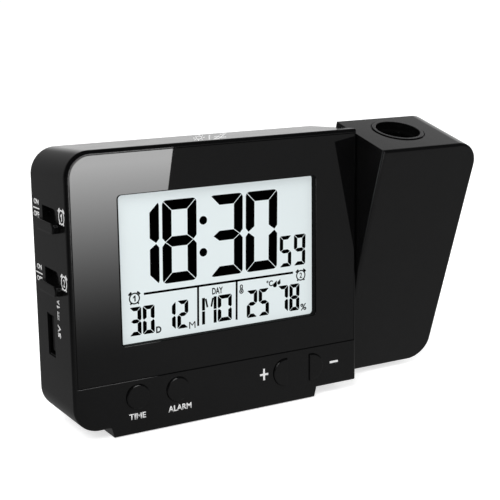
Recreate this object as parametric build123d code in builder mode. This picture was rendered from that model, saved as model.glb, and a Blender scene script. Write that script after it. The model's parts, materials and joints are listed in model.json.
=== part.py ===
"""Projection alarm clock: a slab-shaped clock with a tilting projector arm at its right end.

Millimetres.  The origin is the middle of the pad that the clock stands on; +X runs to the
right as the display is read, -Y points at the reader and +Z is up.  The arm is modelled
upright, in line with the body, and each of its pieces is then tilted forward about the pivot.
"""

import os
from math import cos, radians, sin, tan

from build123d import *

os.makedirs("parts", exist_ok=True)

# ---- driving dimensions -------------------------------------------------------------

# body
BODY_LEFT, BODY_RIGHT = -50.7, 55.1
DEPTH = 29.0
BODY_BOTTOM, BODY_TOP = 3.3, 92.1
TOP_SLOPE = 3.5  # degrees, falling towards the back
CORNER = 8.4  # left edges, seen from the front
SMALL_CORNER = 0.5  # right edges
FRONT_ROUND, BACK_ROUND = 1.1, 0.3
WALL = 2.0
RIM = 1.4  # outer edge of the front frame; behind it the rear case begins
PLATE = 3.5  # thickness of the front face
SPIGOT_GAP = 0.1
PLINTH_HALF = 37.6
PLINTH_DRAFT = 0.8
PLINTH_BACK = 10.5
PAD_LENGTH, PAD_DEPTH, PAD_THICK = 70.0, 18.0, 0.8
PAD_PROUD = 0.3

# gloss panel, its window and the display
WINDOW_LEFT, WINDOW_RIGHT = -33.9, 38.4
WINDOW_BOTTOM, WINDOW_TOP = 29.4, 77.5
WINDOW_CORNER, WINDOW_DEPTH = 1.2, 2.25
PANEL_SIDE, PANEL_TOP, PANEL_END = 1.4, 1.4, 0.8  # margins at the left, top and right
PANEL_CORNER, PANEL_SMALL_CORNER = 7.0, 0.6
STRIP_TOP, STRIP_ROUND = 18.05, 0.25  # height of the button strip, and its upper edge
PANEL_SUNK, PANEL_THICK, PANEL_GAP, PANEL_EDGE = 0.05, 0.8, 0.1, 0.2
TAPE_THICK = 0.1
LCD_THICK, GUIDE_THICK, TRAY_FLOOR, TRAY_WALL = 2.0, 3.0, 1.0, 1.6
LCD_MARGIN, LCD_GAP = 2.9, 0.1
LEDGE = 4.0  # contact ledge of the display cell, below its light guide

# controls
ROUND_KEY_X = (-29.1, -14.9)
ROUND_KEY_Z, ROUND_KEY_R = 12.45, 4.0
HALF_KEY_X = (25.9, 36.2)
HALF_KEY_FLAT = (26.6, 35.5)
HALF_KEY_Z, HALF_KEY_R = 11.2, 4.7
KEY_GAP, KEY_PROUD, KEY_TRAVEL = 0.15, 0.7, 0.6
KEY_FLANGE = 0.9
SLOT_FRONT, SLOT_BACK = -6.4, 5.3
SLOT_BOTTOMS = (66.1, 46.4)
SLOT_HEIGHT, SLOT_ROUND = 7.5, 2.4
KNOB_FRONT = -8.8
KNOB_HEIGHT, KNOB_PROUD, KNOB_TRAVEL = 3.4, 2.3, 3.6
KNOB_GAP = 0.2

# arm and its pivot
ARM_GAP = 0.4
ARM_WIDTH = 40.8
ARM_BOTTOM, ARM_TOP = 4.3, 92.9
ARM_CORNER = 8.4
ARM_FRONT_ROUND, ARM_BACK_ROUND = 1.2, 0.3
ARM_WALL = 2.0
COVER_THICK, COVER_INSET = 1.8, 1.5
PIVOT_HEIGHT = 43.0
ARM_TILT = 18.4  # degrees forward
AXLE_R, AXLE_BORE, AXLE_START = 6.5, 4.0, 48.4
AXLE_FLANGE_R, AXLE_FLANGE = 10.5, 2.0
BUSH_R, BUSH_FLANGE_R, BUSH_FLANGE = 8.2, 9.2, 1.3
RUNNING = 0.06  # radial clearance of a running fit

# projector optics, along the axis square to the arm's sloping top
OPTIC_X, OPTIC_Y = 72.8, 2.05
RING_OUT, RING_IN, RING_PROUD = 9.0, 7.75, 0.3
RING_GROOVE_R, RING_GROOVE = 9.5, 0.6  # step round the ring's hole, and its depth
RING_FLANGE_R, RING_FLANGE = 9.8, 1.0
BARREL_OUT, BARREL_IN, BARREL_LIP = 7.4, 6.3, 5.5
BARREL_TOP, BARREL_END = -2.2, -15.2
TUBE_OUT, TUBE_TOP, TUBE_END = 9.1, -3.2, -20.0
GATE_HALF = 9.2  # half the width of the square housing below the tube
GATE_PLATE, GATE_WALL, GATE_END = 1.5, 1.6, -38.0
POST_REACH = 12.9  # from the optical axis to each projector post
POST_R, POST_END = 2.5, -10.5

# screws
SCREW_R, SCREW_HOLE = 1.2, 1.35
HEAD_R, HEAD_H = 2.2, 1.4

# ---- places worked out from them ----------------------------------------------------

FRONT, BACK = -DEPTH / 2, DEPTH / 2
SLOPE = tan(radians(TOP_SLOPE))
RIM_BACK = FRONT + RIM
PLATE_BACK = FRONT + PLATE
PANEL_FRONT = FRONT + PANEL_SUNK
PANEL_BACK = PANEL_FRONT + PANEL_THICK
TAPE_BACK = PANEL_BACK + TAPE_THICK
PANEL_LEFT, PANEL_RIGHT = BODY_LEFT + PANEL_SIDE, BODY_RIGHT - PANEL_END
PANEL_HIGH = BODY_TOP - PANEL_TOP
FLOOR_INSIDE = BODY_BOTTOM + WALL
LEFT_INSIDE, RIGHT_INSIDE = BODY_LEFT + WALL, BODY_RIGHT - WALL
BACK_INSIDE = BACK - WALL
LCD_FRONT = FRONT + WINDOW_DEPTH
LCD_BACK = LCD_FRONT + LCD_THICK
GUIDE_BACK = LCD_BACK + GUIDE_THICK
TRAY_BACK = GUIDE_BACK + TRAY_FLOOR
LCD_LEFT, LCD_RIGHT = WINDOW_LEFT - LCD_MARGIN, WINDOW_RIGHT + LCD_MARGIN
LCD_TOP = WINDOW_TOP + LCD_MARGIN
LCD_BOTTOM = WINDOW_BOTTOM - 1.1 - LEDGE
BOARD_BACK = -0.45
BOARD_FRONT = BOARD_BACK - 1.6
ARM_LEFT = BODY_RIGHT + ARM_GAP
ARM_RIGHT = ARM_LEFT + ARM_WIDTH
COVER_BACK = ARM_LEFT + COVER_THICK
PIVOT = Axis((0, 0, PIVOT_HEIGHT), (1, 0, 0))
OPTIC = Plane(
    origin=(OPTIC_X, OPTIC_Y, ARM_TOP - SLOPE * (OPTIC_Y - FRONT)),
    x_dir=(1, 0, 0),
    z_dir=(0, sin(radians(TOP_SLOPE)), cos(radians(TOP_SLOPE))),
)
INWARD = (0, 1, 0)  # from the reader into the clock

# posts of the front frame, as (x, z)
CASE_POSTS = [(-44.0, 14.5), (-44.0, 83.0), (48.6, 14.5), (48.6, 80.0)]
CASE_POST_R, CASE_BOSS_R = 3.1, 3.4
CASE_JOIN = -1.0  # where the frame's posts meet the rear case's bosses
CASE_HEAD = BACK - 7.0  # seat of the screw heads, deep in the back
BOARD_POSTS = [(-44.0, 23.2), (2.0, 14.0), (-30.0, 85.2), (36.0, 85.2)]
BOARD_POST_R = 2.1
SCREW_BITE = 5.5  # length of a screw in its post

# ---- helpers ------------------------------------------------------------------------

TURNS = {"x": (0, 90, 0), "y": (-90, 0, 0), "z": (0, 0, 0)}


def block(low, high, mode=Mode.ADD):
    """A box between two opposite corners."""
    middle = [(a + b) / 2 for a, b in zip(low, high)]
    with Locations(Vector(*middle)):
        Box(*[b - a for a, b in zip(low, high)], mode=mode)


def rod(start, length, radius, along, mode=Mode.ADD):
    """A cylinder that starts at a point and runs along x, y or z."""
    middle = list(start)
    middle["xyz".index(along)] += length / 2
    with Locations(Vector(*middle)):
        Cylinder(radius, length, rotation=TURNS[along], mode=mode)


def disc(low, high, radius, mode=Mode.ADD):
    """A round slice on the optical axis, between two depths."""
    rod((0, 0, low), high - low, radius, "z", mode)


def save(piece, name):
    """Label a finished piece and write it."""
    piece.part.label = name
    export_step(piece.part, f"parts/{name}.step")


def save_tilted(piece, name):
    """Tilt a piece of the arm about the pivot, then label and write it."""
    piece.part = piece.part.rotate(PIVOT, ARM_TILT)
    save(piece, name)


def front_plane(y):
    """An upright plane at y whose sketch axes are the clock's X and Z."""
    return Plane(origin=(0, y, 0), x_dir=(1, 0, 0), z_dir=(0, -1, 0))


def wedge_outline(plane, bottom, top, inset, front):
    """The clock's side view: upright front and back, top falling towards the back."""
    back = BACK - inset
    crest = top - inset / cos(radians(TOP_SLOPE))
    with BuildSketch(plane) as outline:
        with BuildLine():
            Polyline(
                (front, bottom + inset),
                (back, bottom + inset),
                (back, crest - SLOPE * (back - FRONT)),
                (front, crest - SLOPE * (front - FRONT)),
                close=True,
            )
        make_face()
    return outline.sketch


def edges_along_y(piece, x):
    """The two long edges that run front to back on the side at x, bottom first."""
    side = piece.faces().sort_by(lambda face: abs(face.center().X - x))[0]
    return side.edges().filter_by(lambda edge: abs((edge % 0.5).Y) > 0.9).sort_by(Axis.Z)


def body_blank(inset=0.0):
    """The body's outer form drawn in by a wall thickness, except at the front."""
    left, right = BODY_LEFT + inset, BODY_RIGHT - inset
    with BuildPart() as blank:
        side_view = wedge_outline(Plane.YZ.offset(left), BODY_BOTTOM, BODY_TOP, inset, FRONT)
        extrude(side_view, right - left)
        fillet(edges_along_y(blank, left), CORNER - inset)
        if inset == 0:
            fillet(blank.faces().sort_by(Axis.Y)[0].edges(), FRONT_ROUND)
            fillet(edges_along_y(blank, right), SMALL_CORNER)
            fillet(blank.faces().sort_by(Axis.Y)[-1].edges(), BACK_ROUND)
    return blank.part


def arm_blank(inset=0.0, start=ARM_LEFT, end=ARM_RIGHT):
    """The arm's outer form drawn in by a wall thickness, between two places along X."""
    right = ARM_RIGHT - inset
    with BuildPart() as blank:
        plane = Plane.YZ.offset(start)
        extrude(wedge_outline(plane, ARM_BOTTOM, ARM_TOP, inset, FRONT + inset), right - start)
        fillet(edges_along_y(blank, right), ARM_CORNER - inset)
        if end < right:
            split(bisect_by=Plane.YZ.offset(end), keep=Keep.BOTTOM)
    return blank.part


def panel_outline(plane, gap):
    """The panel: square along the strip, with its upper left corner well rounded."""
    with BuildSketch(plane) as outline:
        with Locations(((PANEL_LEFT + PANEL_RIGHT) / 2, (PANEL_HIGH + STRIP_TOP) / 2)):
            Rectangle(PANEL_RIGHT - PANEL_LEFT - 2 * gap, PANEL_HIGH - STRIP_TOP - 2 * gap)
        upper = outline.vertices().group_by(Axis.Y)[-1].sort_by(Axis.X)
        fillet(upper[0], PANEL_CORNER - gap)
        fillet(upper[-1], PANEL_SMALL_CORNER)
    return outline.sketch


def window_outline(plane):
    """The opening that shows the display."""
    with BuildSketch(plane) as outline:
        with Locations(((WINDOW_LEFT + WINDOW_RIGHT) / 2, (WINDOW_BOTTOM + WINDOW_TOP) / 2)):
            wide, tall = WINDOW_RIGHT - WINDOW_LEFT, WINDOW_TOP - WINDOW_BOTTOM
            RectangleRounded(wide, tall, WINDOW_CORNER)
    return outline.sketch


def round_key_outline(plane, index, grow):
    """One of the two round keys."""
    with BuildSketch(plane) as outline:
        with Locations((ROUND_KEY_X[index], ROUND_KEY_Z)):
            Circle(ROUND_KEY_R + grow)
    return outline.sketch


def half_key_outline(plane, index, grow):
    """A disc cut off by a flat on the side that faces the other half key."""
    side = 1 if index == 0 else -1
    with BuildSketch(plane) as outline:
        with Locations((HALF_KEY_X[index], HALF_KEY_Z)):
            Circle(HALF_KEY_R + grow)
        with Locations((HALF_KEY_FLAT[index] + side * (grow + HALF_KEY_R), HALF_KEY_Z)):
            Rectangle(2 * HALF_KEY_R, 4 * HALF_KEY_R, mode=Mode.SUBTRACT)
    return outline.sketch


def slot_outline(plane, front, back, bottom, height, corner):
    """A side slot or its knob: square at the back, its two front corners rounded."""
    with BuildSketch(plane) as outline:
        with Locations(((front + back) / 2, bottom + height / 2)):
            Rectangle(back - front, height)
        fillet(outline.vertices().group_by(Axis.X)[0], corner)
    return outline.sketch


def plinth_outline(plane, top):
    """Front view of the plinth, its two ends leaning in towards the bottom."""
    wide = PLINTH_HALF + PLINTH_DRAFT
    with BuildSketch(plane) as outline:
        with BuildLine():
            Polyline(
                (-PLINTH_HALF, PAD_PROUD),
                (PLINTH_HALF, PAD_PROUD),
                (wide, BODY_BOTTOM),
                (wide, top),
                (-wide, top),
                (-wide, BODY_BOTTOM),
                close=True,
            )
        make_face()
    return outline.sketch


# each key: outline, which of its pair, and the place of its switch as x and z
HALF_KEY_SWITCH = 2.7  # from the flat of a half key to its switch
KEYS = {
    "time_button": (round_key_outline, 0, ROUND_KEY_X[0], ROUND_KEY_Z),
    "alarm_button": (round_key_outline, 1, ROUND_KEY_X[1], ROUND_KEY_Z),
    "plus_button": (half_key_outline, 0, HALF_KEY_FLAT[0] - HALF_KEY_SWITCH, HALF_KEY_Z),
    "minus_button": (half_key_outline, 1, HALF_KEY_FLAT[1] + HALF_KEY_SWITCH, HALF_KEY_Z),
}

BODY_OUTER = body_blank()
BODY_INNER = body_blank(WALL)

# ---- front frame --------------------------------------------------------------------

with BuildPart() as spigot:
    add(body_blank(WALL + SPIGOT_GAP))
    block((BODY_LEFT, RIM_BACK, 0), (BODY_RIGHT, PLATE_BACK, BODY_TOP), Mode.INTERSECT)

with BuildPart() as front_frame:
    add(BODY_OUTER)
    split(bisect_by=Plane.XZ.offset(-RIM_BACK), keep=Keep.TOP)
    extrude(plinth_outline(front_plane(FRONT), FLOOR_INSIDE + 1), RIM, dir=INWARD)
    add(spigot.part)
    for x, z in CASE_POSTS:
        rod((x, PLATE_BACK, z), CASE_JOIN - PLATE_BACK, CASE_POST_R, "y")
        rod((x, CASE_JOIN - 6, z), 6.0, SCREW_R, "y", Mode.SUBTRACT)
    for x, z in BOARD_POSTS:
        rod((x, PLATE_BACK, z), BOARD_FRONT - PLATE_BACK, BOARD_POST_R, "y")
        rod((x, BOARD_FRONT - 6, z), 6.0, SCREW_R, "y", Mode.SUBTRACT)
    recess = panel_outline(front_plane(FRONT - 1), 0.0)
    extrude(recess, TAPE_BACK - FRONT + 1, dir=INWARD, mode=Mode.SUBTRACT)
    extrude(window_outline(front_plane(FRONT)), PLATE, dir=INWARD, mode=Mode.SUBTRACT)
    # the pocket that takes the display cell
    block((LCD_LEFT - LCD_GAP, LCD_FRONT, LCD_BOTTOM - LCD_GAP),
          (LCD_RIGHT + LCD_GAP, PLATE_BACK, LCD_TOP + LCD_GAP), Mode.SUBTRACT)
    for outline, index, _, _ in KEYS.values():
        hole = outline(front_plane(FRONT - 1), index, KEY_GAP)
        extrude(hole, PLATE + 1, dir=INWARD, mode=Mode.SUBTRACT)
    strip_edge = Vector(0, FRONT, STRIP_TOP)
    level = front_frame.edges().filter_by(Axis.X)
    fillet(level.sort_by(lambda edge: (edge.center() - strip_edge).length)[0], STRIP_ROUND)
save(front_frame, "front_frame")

# ---- rear case ----------------------------------------------------------------------

# battery well, and the door's recess around it, as left, bottom, right, top
WELL = (-27.5, 28.0, 22.5, 53.0)
WELL_FLOOR, WELL_WALL = 1.8, 1.2
DOOR = (-30.5, 26.2, 25.5, 54.8)
DOOR_THICK, DOOR_GAP = 1.5, 0.15
DOOR_SEAT = BACK - DOOR_THICK - 0.1
LEDGE_THICK, LEDGE_RIM = 1.5, 1.3
HOOKS_X = (-20.0, 14.0)
HOOK_HALF, HOOK_FRONT, HOOK_BACK = 3.0, 11.0, 12.3
HOOK_LOW, HOOK_NECK, HOOK_HIGH = 24.2, 26.55, 28.0
HOOK_ROOM = 0.4

SPEAKER_X, SPEAKER_Z, SPEAKER_R = 38.0, 70.0, 9.8
SPEAKER_RING = 8.0  # front edge of the ring that holds the sounder
SOCKET_X, SOCKET_Z, COLLAR_R = 35.5, 16.0, 3.9
SENSOR_X, SENSOR_Z, SENSOR_BACK = -42.0, 28.0, 9.8
USB_Y, USB_Z = 2.35, 32.05
USB_DEEP, USB_TALL = 5.6, 13.6
PORT_GAP = 0.15
SIDE_BOARD_LEFT, SIDE_BOARD_RIGHT = -42.6, -41.0
SIDE_BOARD_LOW, SIDE_BOARD_HIGH, SIDE_BOARD_BACK = 45.0, 79.0, 6.8


def grille(x, z, count, pitch, wide, tall):
    """A row of upright slots through the back."""
    with Locations((x, BACK_INSIDE, z)):
        with GridLocations(pitch, 1, count, 1):
            Box(wide, 3 * WALL, tall, mode=Mode.SUBTRACT)


with BuildPart() as rear_case:
    add(BODY_OUTER)
    split(bisect_by=Plane.XZ.offset(-RIM_BACK), keep=Keep.BOTTOM)
    extrude(plinth_outline(front_plane(RIM_BACK), FLOOR_INSIDE), PLINTH_BACK - RIM_BACK, dir=INWARD)
    add(BODY_INNER, mode=Mode.SUBTRACT)
    # the plinth is hollow from inside, and holds the pad in a shallow recess
    block((-35.5, -9.4, 2.1), (35.5, 8.5, FLOOR_INSIDE), Mode.SUBTRACT)
    block((-PAD_LENGTH / 2, -PAD_DEPTH / 2, 0),
          (PAD_LENGTH / 2, PAD_DEPTH / 2, PAD_THICK), Mode.SUBTRACT)
    # screw bosses, drilled and counterbored from the back
    for x, z in CASE_POSTS:
        rod((x, CASE_JOIN, z), BACK_INSIDE - CASE_JOIN + 0.5, CASE_BOSS_R, "y")
        rod((x, CASE_JOIN, z), DEPTH, SCREW_HOLE, "y", Mode.SUBTRACT)
        rod((x, CASE_HEAD, z), DEPTH, HEAD_R + 0.15, "y", Mode.SUBTRACT)
    # battery well, with a ledge that the door lies on
    x0, z0, x1, z1 = WELL
    block((x0 - WELL_WALL, WELL_FLOOR - WELL_WALL, z0 - WELL_WALL),
          (x1 + WELL_WALL, BACK_INSIDE + 0.3, z1 + WELL_WALL))
    x0, z0, x1, z1 = DOOR
    block((x0 - LEDGE_RIM, DOOR_SEAT - LEDGE_THICK, z0 - LEDGE_RIM),
          (x1 + LEDGE_RIM, BACK_INSIDE + 0.5, z1 + LEDGE_RIM))
    block((x0, DOOR_SEAT, z0), (x1, BACK + 1, z1), Mode.SUBTRACT)
    x0, z0, x1, z1 = WELL
    block((x0, WELL_FLOOR, z0), (x1, BACK, z1), Mode.SUBTRACT)
    for x in HOOKS_X:
        half = HOOK_HALF + HOOK_ROOM
        block((x - half, HOOK_FRONT - 1, HOOK_LOW - HOOK_ROOM),
              (x + half, BACK_INSIDE, WELL[1] + 1), Mode.SUBTRACT)
        block((x - half, HOOK_FRONT - 1, DOOR[1]),
              (x + half, DOOR_SEAT, WELL[1] + 1), Mode.SUBTRACT)
    # side slots and charging port
    for bottom in SLOT_BOTTOMS:
        plane = Plane.YZ.offset(BODY_LEFT - 1)
        slot = slot_outline(plane, SLOT_FRONT, SLOT_BACK, bottom, SLOT_HEIGHT, SLOT_ROUND)
        extrude(slot, WALL + 2, mode=Mode.SUBTRACT)
    port_y, port_z = USB_DEEP / 2 + PORT_GAP, USB_TALL / 2 + PORT_GAP
    block((BODY_LEFT - 1, USB_Y - port_y, USB_Z - port_z),
          (LEFT_INSIDE + 1, USB_Y + port_y, USB_Z + port_z), Mode.SUBTRACT)
    # grooved rib that holds the side board
    block((BODY_LEFT + 1, SIDE_BOARD_BACK - 1, SIDE_BOARD_LOW),
          (SIDE_BOARD_RIGHT + 1, SIDE_BOARD_BACK + 1, SIDE_BOARD_HIGH))
    block((SIDE_BOARD_LEFT, SIDE_BOARD_BACK - 1, SIDE_BOARD_LOW),
          (SIDE_BOARD_RIGHT, SIDE_BOARD_BACK, SIDE_BOARD_HIGH), Mode.SUBTRACT)
    # sounder ring and grille, sensor pegs and vents
    ring_depth = BACK_INSIDE - SPEAKER_RING
    rod((SPEAKER_X, SPEAKER_RING, SPEAKER_Z), ring_depth + 0.5, SPEAKER_R + 1.2, "y")
    rod((SPEAKER_X, SPEAKER_RING, SPEAKER_Z), ring_depth, SPEAKER_R + 0.1, "y", Mode.SUBTRACT)
    grille(SPEAKER_X, SPEAKER_Z, 6, 2.6, 1.3, 11.0)
    for offset in (-4.0, 4.0):
        rod((SENSOR_X + offset, SENSOR_BACK, SENSOR_Z), BACK - 1 - SENSOR_BACK, 0.9, "y")
    grille(SENSOR_X, SENSOR_Z, 4, 1.6, 0.8, 6.0)
    # holes for the adapter inlet and the pivot bush
    rod((SOCKET_X, BACK_INSIDE - 1, SOCKET_Z), 2 * WALL, COLLAR_R + 0.1, "y", Mode.SUBTRACT)
    rod((RIGHT_INSIDE - 1, 0, PIVOT_HEIGHT), 2 * WALL, BUSH_R + 0.05, "x", Mode.SUBTRACT)
save(rear_case, "rear_case")

with BuildPart() as foot_pad:
    with BuildSketch():
        RectangleRounded(PAD_LENGTH - 0.1, PAD_DEPTH - 0.1, 2.0)
    extrude(amount=PAD_THICK)
save(foot_pad, "foot_pad")

# ---- front panel and display --------------------------------------------------------


def panel_sheet(face, thick):
    """A sheet of the panel's outline behind a face, with the display's window cut out."""
    with BuildPart() as sheet:
        extrude(panel_outline(front_plane(face), PANEL_GAP), thick, dir=INWARD)
        extrude(window_outline(front_plane(face)), thick, dir=INWARD, mode=Mode.SUBTRACT)
    return sheet


front_panel = panel_sheet(PANEL_FRONT, PANEL_THICK)
with front_panel:
    fillet(front_panel.faces().sort_by(Axis.Y)[0].edges(), PANEL_EDGE)
save(front_panel, "front_panel")
save(panel_sheet(PANEL_BACK, TAPE_THICK), "panel_tape")

SHEET = LCD_THICK / 2  # each of the cell's two glass sheets
with BuildPart() as lcd_glass:
    block((LCD_LEFT, LCD_FRONT, LCD_BOTTOM), (LCD_RIGHT, LCD_BACK, LCD_TOP))
    # the rear sheet stops short, which leaves the contact ledge
    block((LCD_LEFT, LCD_FRONT + SHEET, LCD_BOTTOM),
          (LCD_RIGHT, LCD_BACK, LCD_BOTTOM + LEDGE - 0.5), Mode.SUBTRACT)
save(lcd_glass, "lcd_glass")

with BuildPart() as lcd_light_guide:
    block((LCD_LEFT, LCD_BACK, LCD_BOTTOM + LEDGE), (LCD_RIGHT, GUIDE_BACK, LCD_TOP))
save(lcd_light_guide, "lcd_light_guide")

LED_HEIGHTS = (38.0, 54.0, 70.0)
LED_FRONT, LED_BACK = LCD_BACK + 0.5, LCD_BACK + 2.4
LED_HALF, LED_REACH = 1.5, 0.8
LCD_MIDDLE = (LCD_LEFT + LCD_RIGHT) / 2
CONNECTOR_HALF = 35.0
CONNECTOR_LOW, CONNECTOR_HIGH = LCD_BOTTOM + 0.7, LCD_BOTTOM + 2.9
LEG_X, LEG_Z, LEG_R = (-33.0, 2.0, 36.0), (32.0, 78.0), 1.5

with BuildPart() as lcd_holder:
    block((LCD_LEFT - TRAY_WALL, PLATE_BACK, LCD_BOTTOM - TRAY_WALL),
          (LCD_RIGHT + TRAY_WALL, TRAY_BACK, LCD_TOP + TRAY_WALL))
    block((LCD_LEFT, PLATE_BACK, LCD_BOTTOM), (LCD_RIGHT, GUIDE_BACK, LCD_TOP), Mode.SUBTRACT)
    block((LCD_MIDDLE - CONNECTOR_HALF, PLATE_BACK, CONNECTOR_LOW - 0.2),
          (LCD_MIDDLE + CONNECTOR_HALF, TRAY_BACK, CONNECTOR_HIGH + 0.2), Mode.SUBTRACT)
    for z in LED_HEIGHTS:
        block((LCD_RIGHT, LED_FRONT - 0.1, z - LED_HALF - 0.1),
              (LCD_RIGHT + LED_REACH + 0.1, LED_BACK + 0.1, z + LED_HALF + 0.1), Mode.SUBTRACT)
    for x in LEG_X:
        for z in LEG_Z:
            rod((x, TRAY_BACK, z), BOARD_FRONT - TRAY_BACK, LEG_R, "y")
save(lcd_holder, "lcd_holder")

with BuildPart() as lcd_connector:
    block((LCD_MIDDLE - CONNECTOR_HALF + 0.2, LCD_FRONT + SHEET, CONNECTOR_LOW),
          (LCD_MIDDLE + CONNECTOR_HALF - 0.2, BOARD_FRONT, CONNECTOR_HIGH))
save(lcd_connector, "lcd_connector")

with BuildPart() as backlight_leds:
    for z in LED_HEIGHTS:
        block((LCD_RIGHT + 0.05, LED_FRONT, z - LED_HALF),
              (LCD_RIGHT + LED_REACH, LED_BACK, z + LED_HALF))
save(backlight_leds, "backlight_leds")

# ---- circuit boards -----------------------------------------------------------------

BOARD_LEFT, BOARD_RIGHT = -38.2, 44.4
BOARD_LOW, BOARD_HIGH = 8.0, 88.0
TAB_LEFT, TAB_LOW, TAB_HIGH = -47.0, 20.4, 43.4  # the tab that carries the charging port
CHIP_X, CHIP_Z, CHIP_SIDE, CHIP_THICK = -10.0, 66.0, 12.0, 1.4

with BuildPart() as main_board:
    block((BOARD_LEFT, BOARD_FRONT, BOARD_LOW), (BOARD_RIGHT, BOARD_BACK, BOARD_HIGH))
    block((TAB_LEFT, BOARD_FRONT, TAB_LOW), (BOARD_LEFT, BOARD_BACK, TAB_HIGH))
    for x, z in BOARD_POSTS:
        rod((x, BOARD_FRONT, z), 2.0, SCREW_HOLE, "y", Mode.SUBTRACT)
save(main_board, "main_board")

with BuildPart() as clock_chip:
    with Locations((CHIP_X, BOARD_BACK + CHIP_THICK / 2, CHIP_Z)):
        Box(CHIP_SIDE, CHIP_THICK, CHIP_SIDE)
    chamfer(clock_chip.faces().sort_by(Axis.Y)[-1].edges(), 0.4)
save(clock_chip, "clock_chip")

with BuildPart() as board_screws:
    for x, z in BOARD_POSTS:
        rod((x, BOARD_BACK, z), 1.1, 1.9, "y")
        rod((x, BOARD_FRONT - SCREW_BITE, z), BOARD_BACK - BOARD_FRONT + SCREW_BITE, SCREW_R, "y")
save(board_screws, "board_screws")

SWITCH_HALF, SWITCH_THICK, PLUNGER_R, PLUNGER = 3.0, 3.5, 1.6, 0.6
SWITCH_FACE = BOARD_FRONT - SWITCH_THICK
PLUNGER_FACE = SWITCH_FACE - PLUNGER
with BuildPart() as button_switches:
    for _, _, x, z in KEYS.values():
        block((x - SWITCH_HALF, SWITCH_FACE, z - SWITCH_HALF),
              (x + SWITCH_HALF, BOARD_FRONT, z + SWITCH_HALF))
        rod((x, PLUNGER_FACE, z), PLUNGER, PLUNGER_R, "y")
save(button_switches, "button_switches")

# ---- front buttons ------------------------------------------------------------------

KEY_FACE = FRONT - KEY_PROUD
KEY_EDGE, KEY_FLANGE_THICK, KEY_STEM_R = 0.45, 0.8, 1.5
KEY_STEM_END = PLUNGER_FACE - KEY_TRAVEL - 0.05


def button(outline, index, x, z):
    """A key cap with a flange behind the front plate and a stem to its switch."""
    with BuildPart() as key:
        cap = outline(front_plane(KEY_FACE), index, 0.0)
        extrude(cap, PLATE_BACK + 0.1 - KEY_FACE, dir=INWARD)
        fillet(key.faces().sort_by(Axis.Y)[0].edges(), KEY_EDGE)
        flange = outline(front_plane(PLATE_BACK + 0.05), index, KEY_FLANGE)
        extrude(flange, KEY_FLANGE_THICK, dir=INWARD)
        rod((x, PLATE_BACK + 0.5, z), KEY_STEM_END - PLATE_BACK - 0.5, KEY_STEM_R, "y")
    return key


for name, (outline, index, x, z) in KEYS.items():
    save(button(outline, index, x, z), name)

# ---- alarm slide switches on the left side ------------------------------------------

SLIDE_Y = (SLOT_FRONT + SLOT_BACK) / 2
SHUTTER_FACE = LEFT_INSIDE + 0.1
SHUTTER_BACK = SHUTTER_FACE + 1.0
SHUTTER_MARGIN = 1.0
SLIDE_FACE = SHUTTER_BACK + 0.3
SLIDE_HALF_Y, SLIDE_HALF_Z = 3.2, 4.6
LEVER_HALF, LEVER_DEPTH, LEVER_ROOM = 0.9, 1.6, 0.4
CAP_FACE, CAP_BACK = BODY_LEFT - KNOB_PROUD, BODY_LEFT - 0.15


def alarm_knob(bottom):
    """A knob at the lower end of its slot, with its shutter and lever behind the wall."""
    low = bottom + KNOB_GAP
    high = low + KNOB_HEIGHT
    middle = (low + high) / 2
    back = SLOT_BACK - KNOB_GAP
    with BuildPart() as knob:
        # the cap overlaps the slot's front end, outside the wall
        plane = Plane.YZ.offset(CAP_FACE)
        cap = slot_outline(plane, KNOB_FRONT, back, low, KNOB_HEIGHT, KNOB_HEIGHT / 2 - 0.05)
        extrude(cap, CAP_BACK - CAP_FACE)
        fillet(knob.faces().sort_by(Axis.X)[0].edges(), 0.4)
        block((CAP_BACK, SLOT_FRONT + SLOT_ROUND, low), (SHUTTER_FACE, back, high))
        block((SHUTTER_FACE, SLOT_FRONT - SHUTTER_MARGIN, bottom - SHUTTER_MARGIN - KNOB_TRAVEL),
              (SHUTTER_BACK, SLOT_BACK + 0.3, bottom + SLOT_HEIGHT + SHUTTER_MARGIN))
        block((SHUTTER_BACK, SLIDE_Y - LEVER_HALF, middle - LEVER_HALF),
              (SLIDE_FACE + LEVER_DEPTH, SLIDE_Y + LEVER_HALF, middle + LEVER_HALF))
    return knob


for number, bottom in enumerate(SLOT_BOTTOMS, start=1):
    save(alarm_knob(bottom), f"alarm_{number}_knob")

with BuildPart() as slide_switches:
    for bottom in SLOT_BOTTOMS:
        middle = bottom + SLOT_HEIGHT / 2
        room_y, room_z = LEVER_HALF + LEVER_ROOM, (SLOT_HEIGHT - KNOB_HEIGHT) / 2 + LEVER_HALF + LEVER_ROOM
        block((SLIDE_FACE, SLIDE_Y - SLIDE_HALF_Y, middle - SLIDE_HALF_Z),
              (SIDE_BOARD_LEFT, SLIDE_Y + SLIDE_HALF_Y, middle + SLIDE_HALF_Z))
        block((SLIDE_FACE, SLIDE_Y - room_y, middle - room_z),
              (SLIDE_FACE + LEVER_DEPTH + LEVER_ROOM, SLIDE_Y + room_y, middle + room_z),
              Mode.SUBTRACT)
save(slide_switches, "slide_switches")

with BuildPart() as side_board:
    block((SIDE_BOARD_LEFT, -8.0, SIDE_BOARD_LOW),
          (SIDE_BOARD_RIGHT, SIDE_BOARD_BACK, SIDE_BOARD_HIGH))
save(side_board, "side_board")

# ---- charging port and adapter inlet ------------------------------------------------

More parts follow.
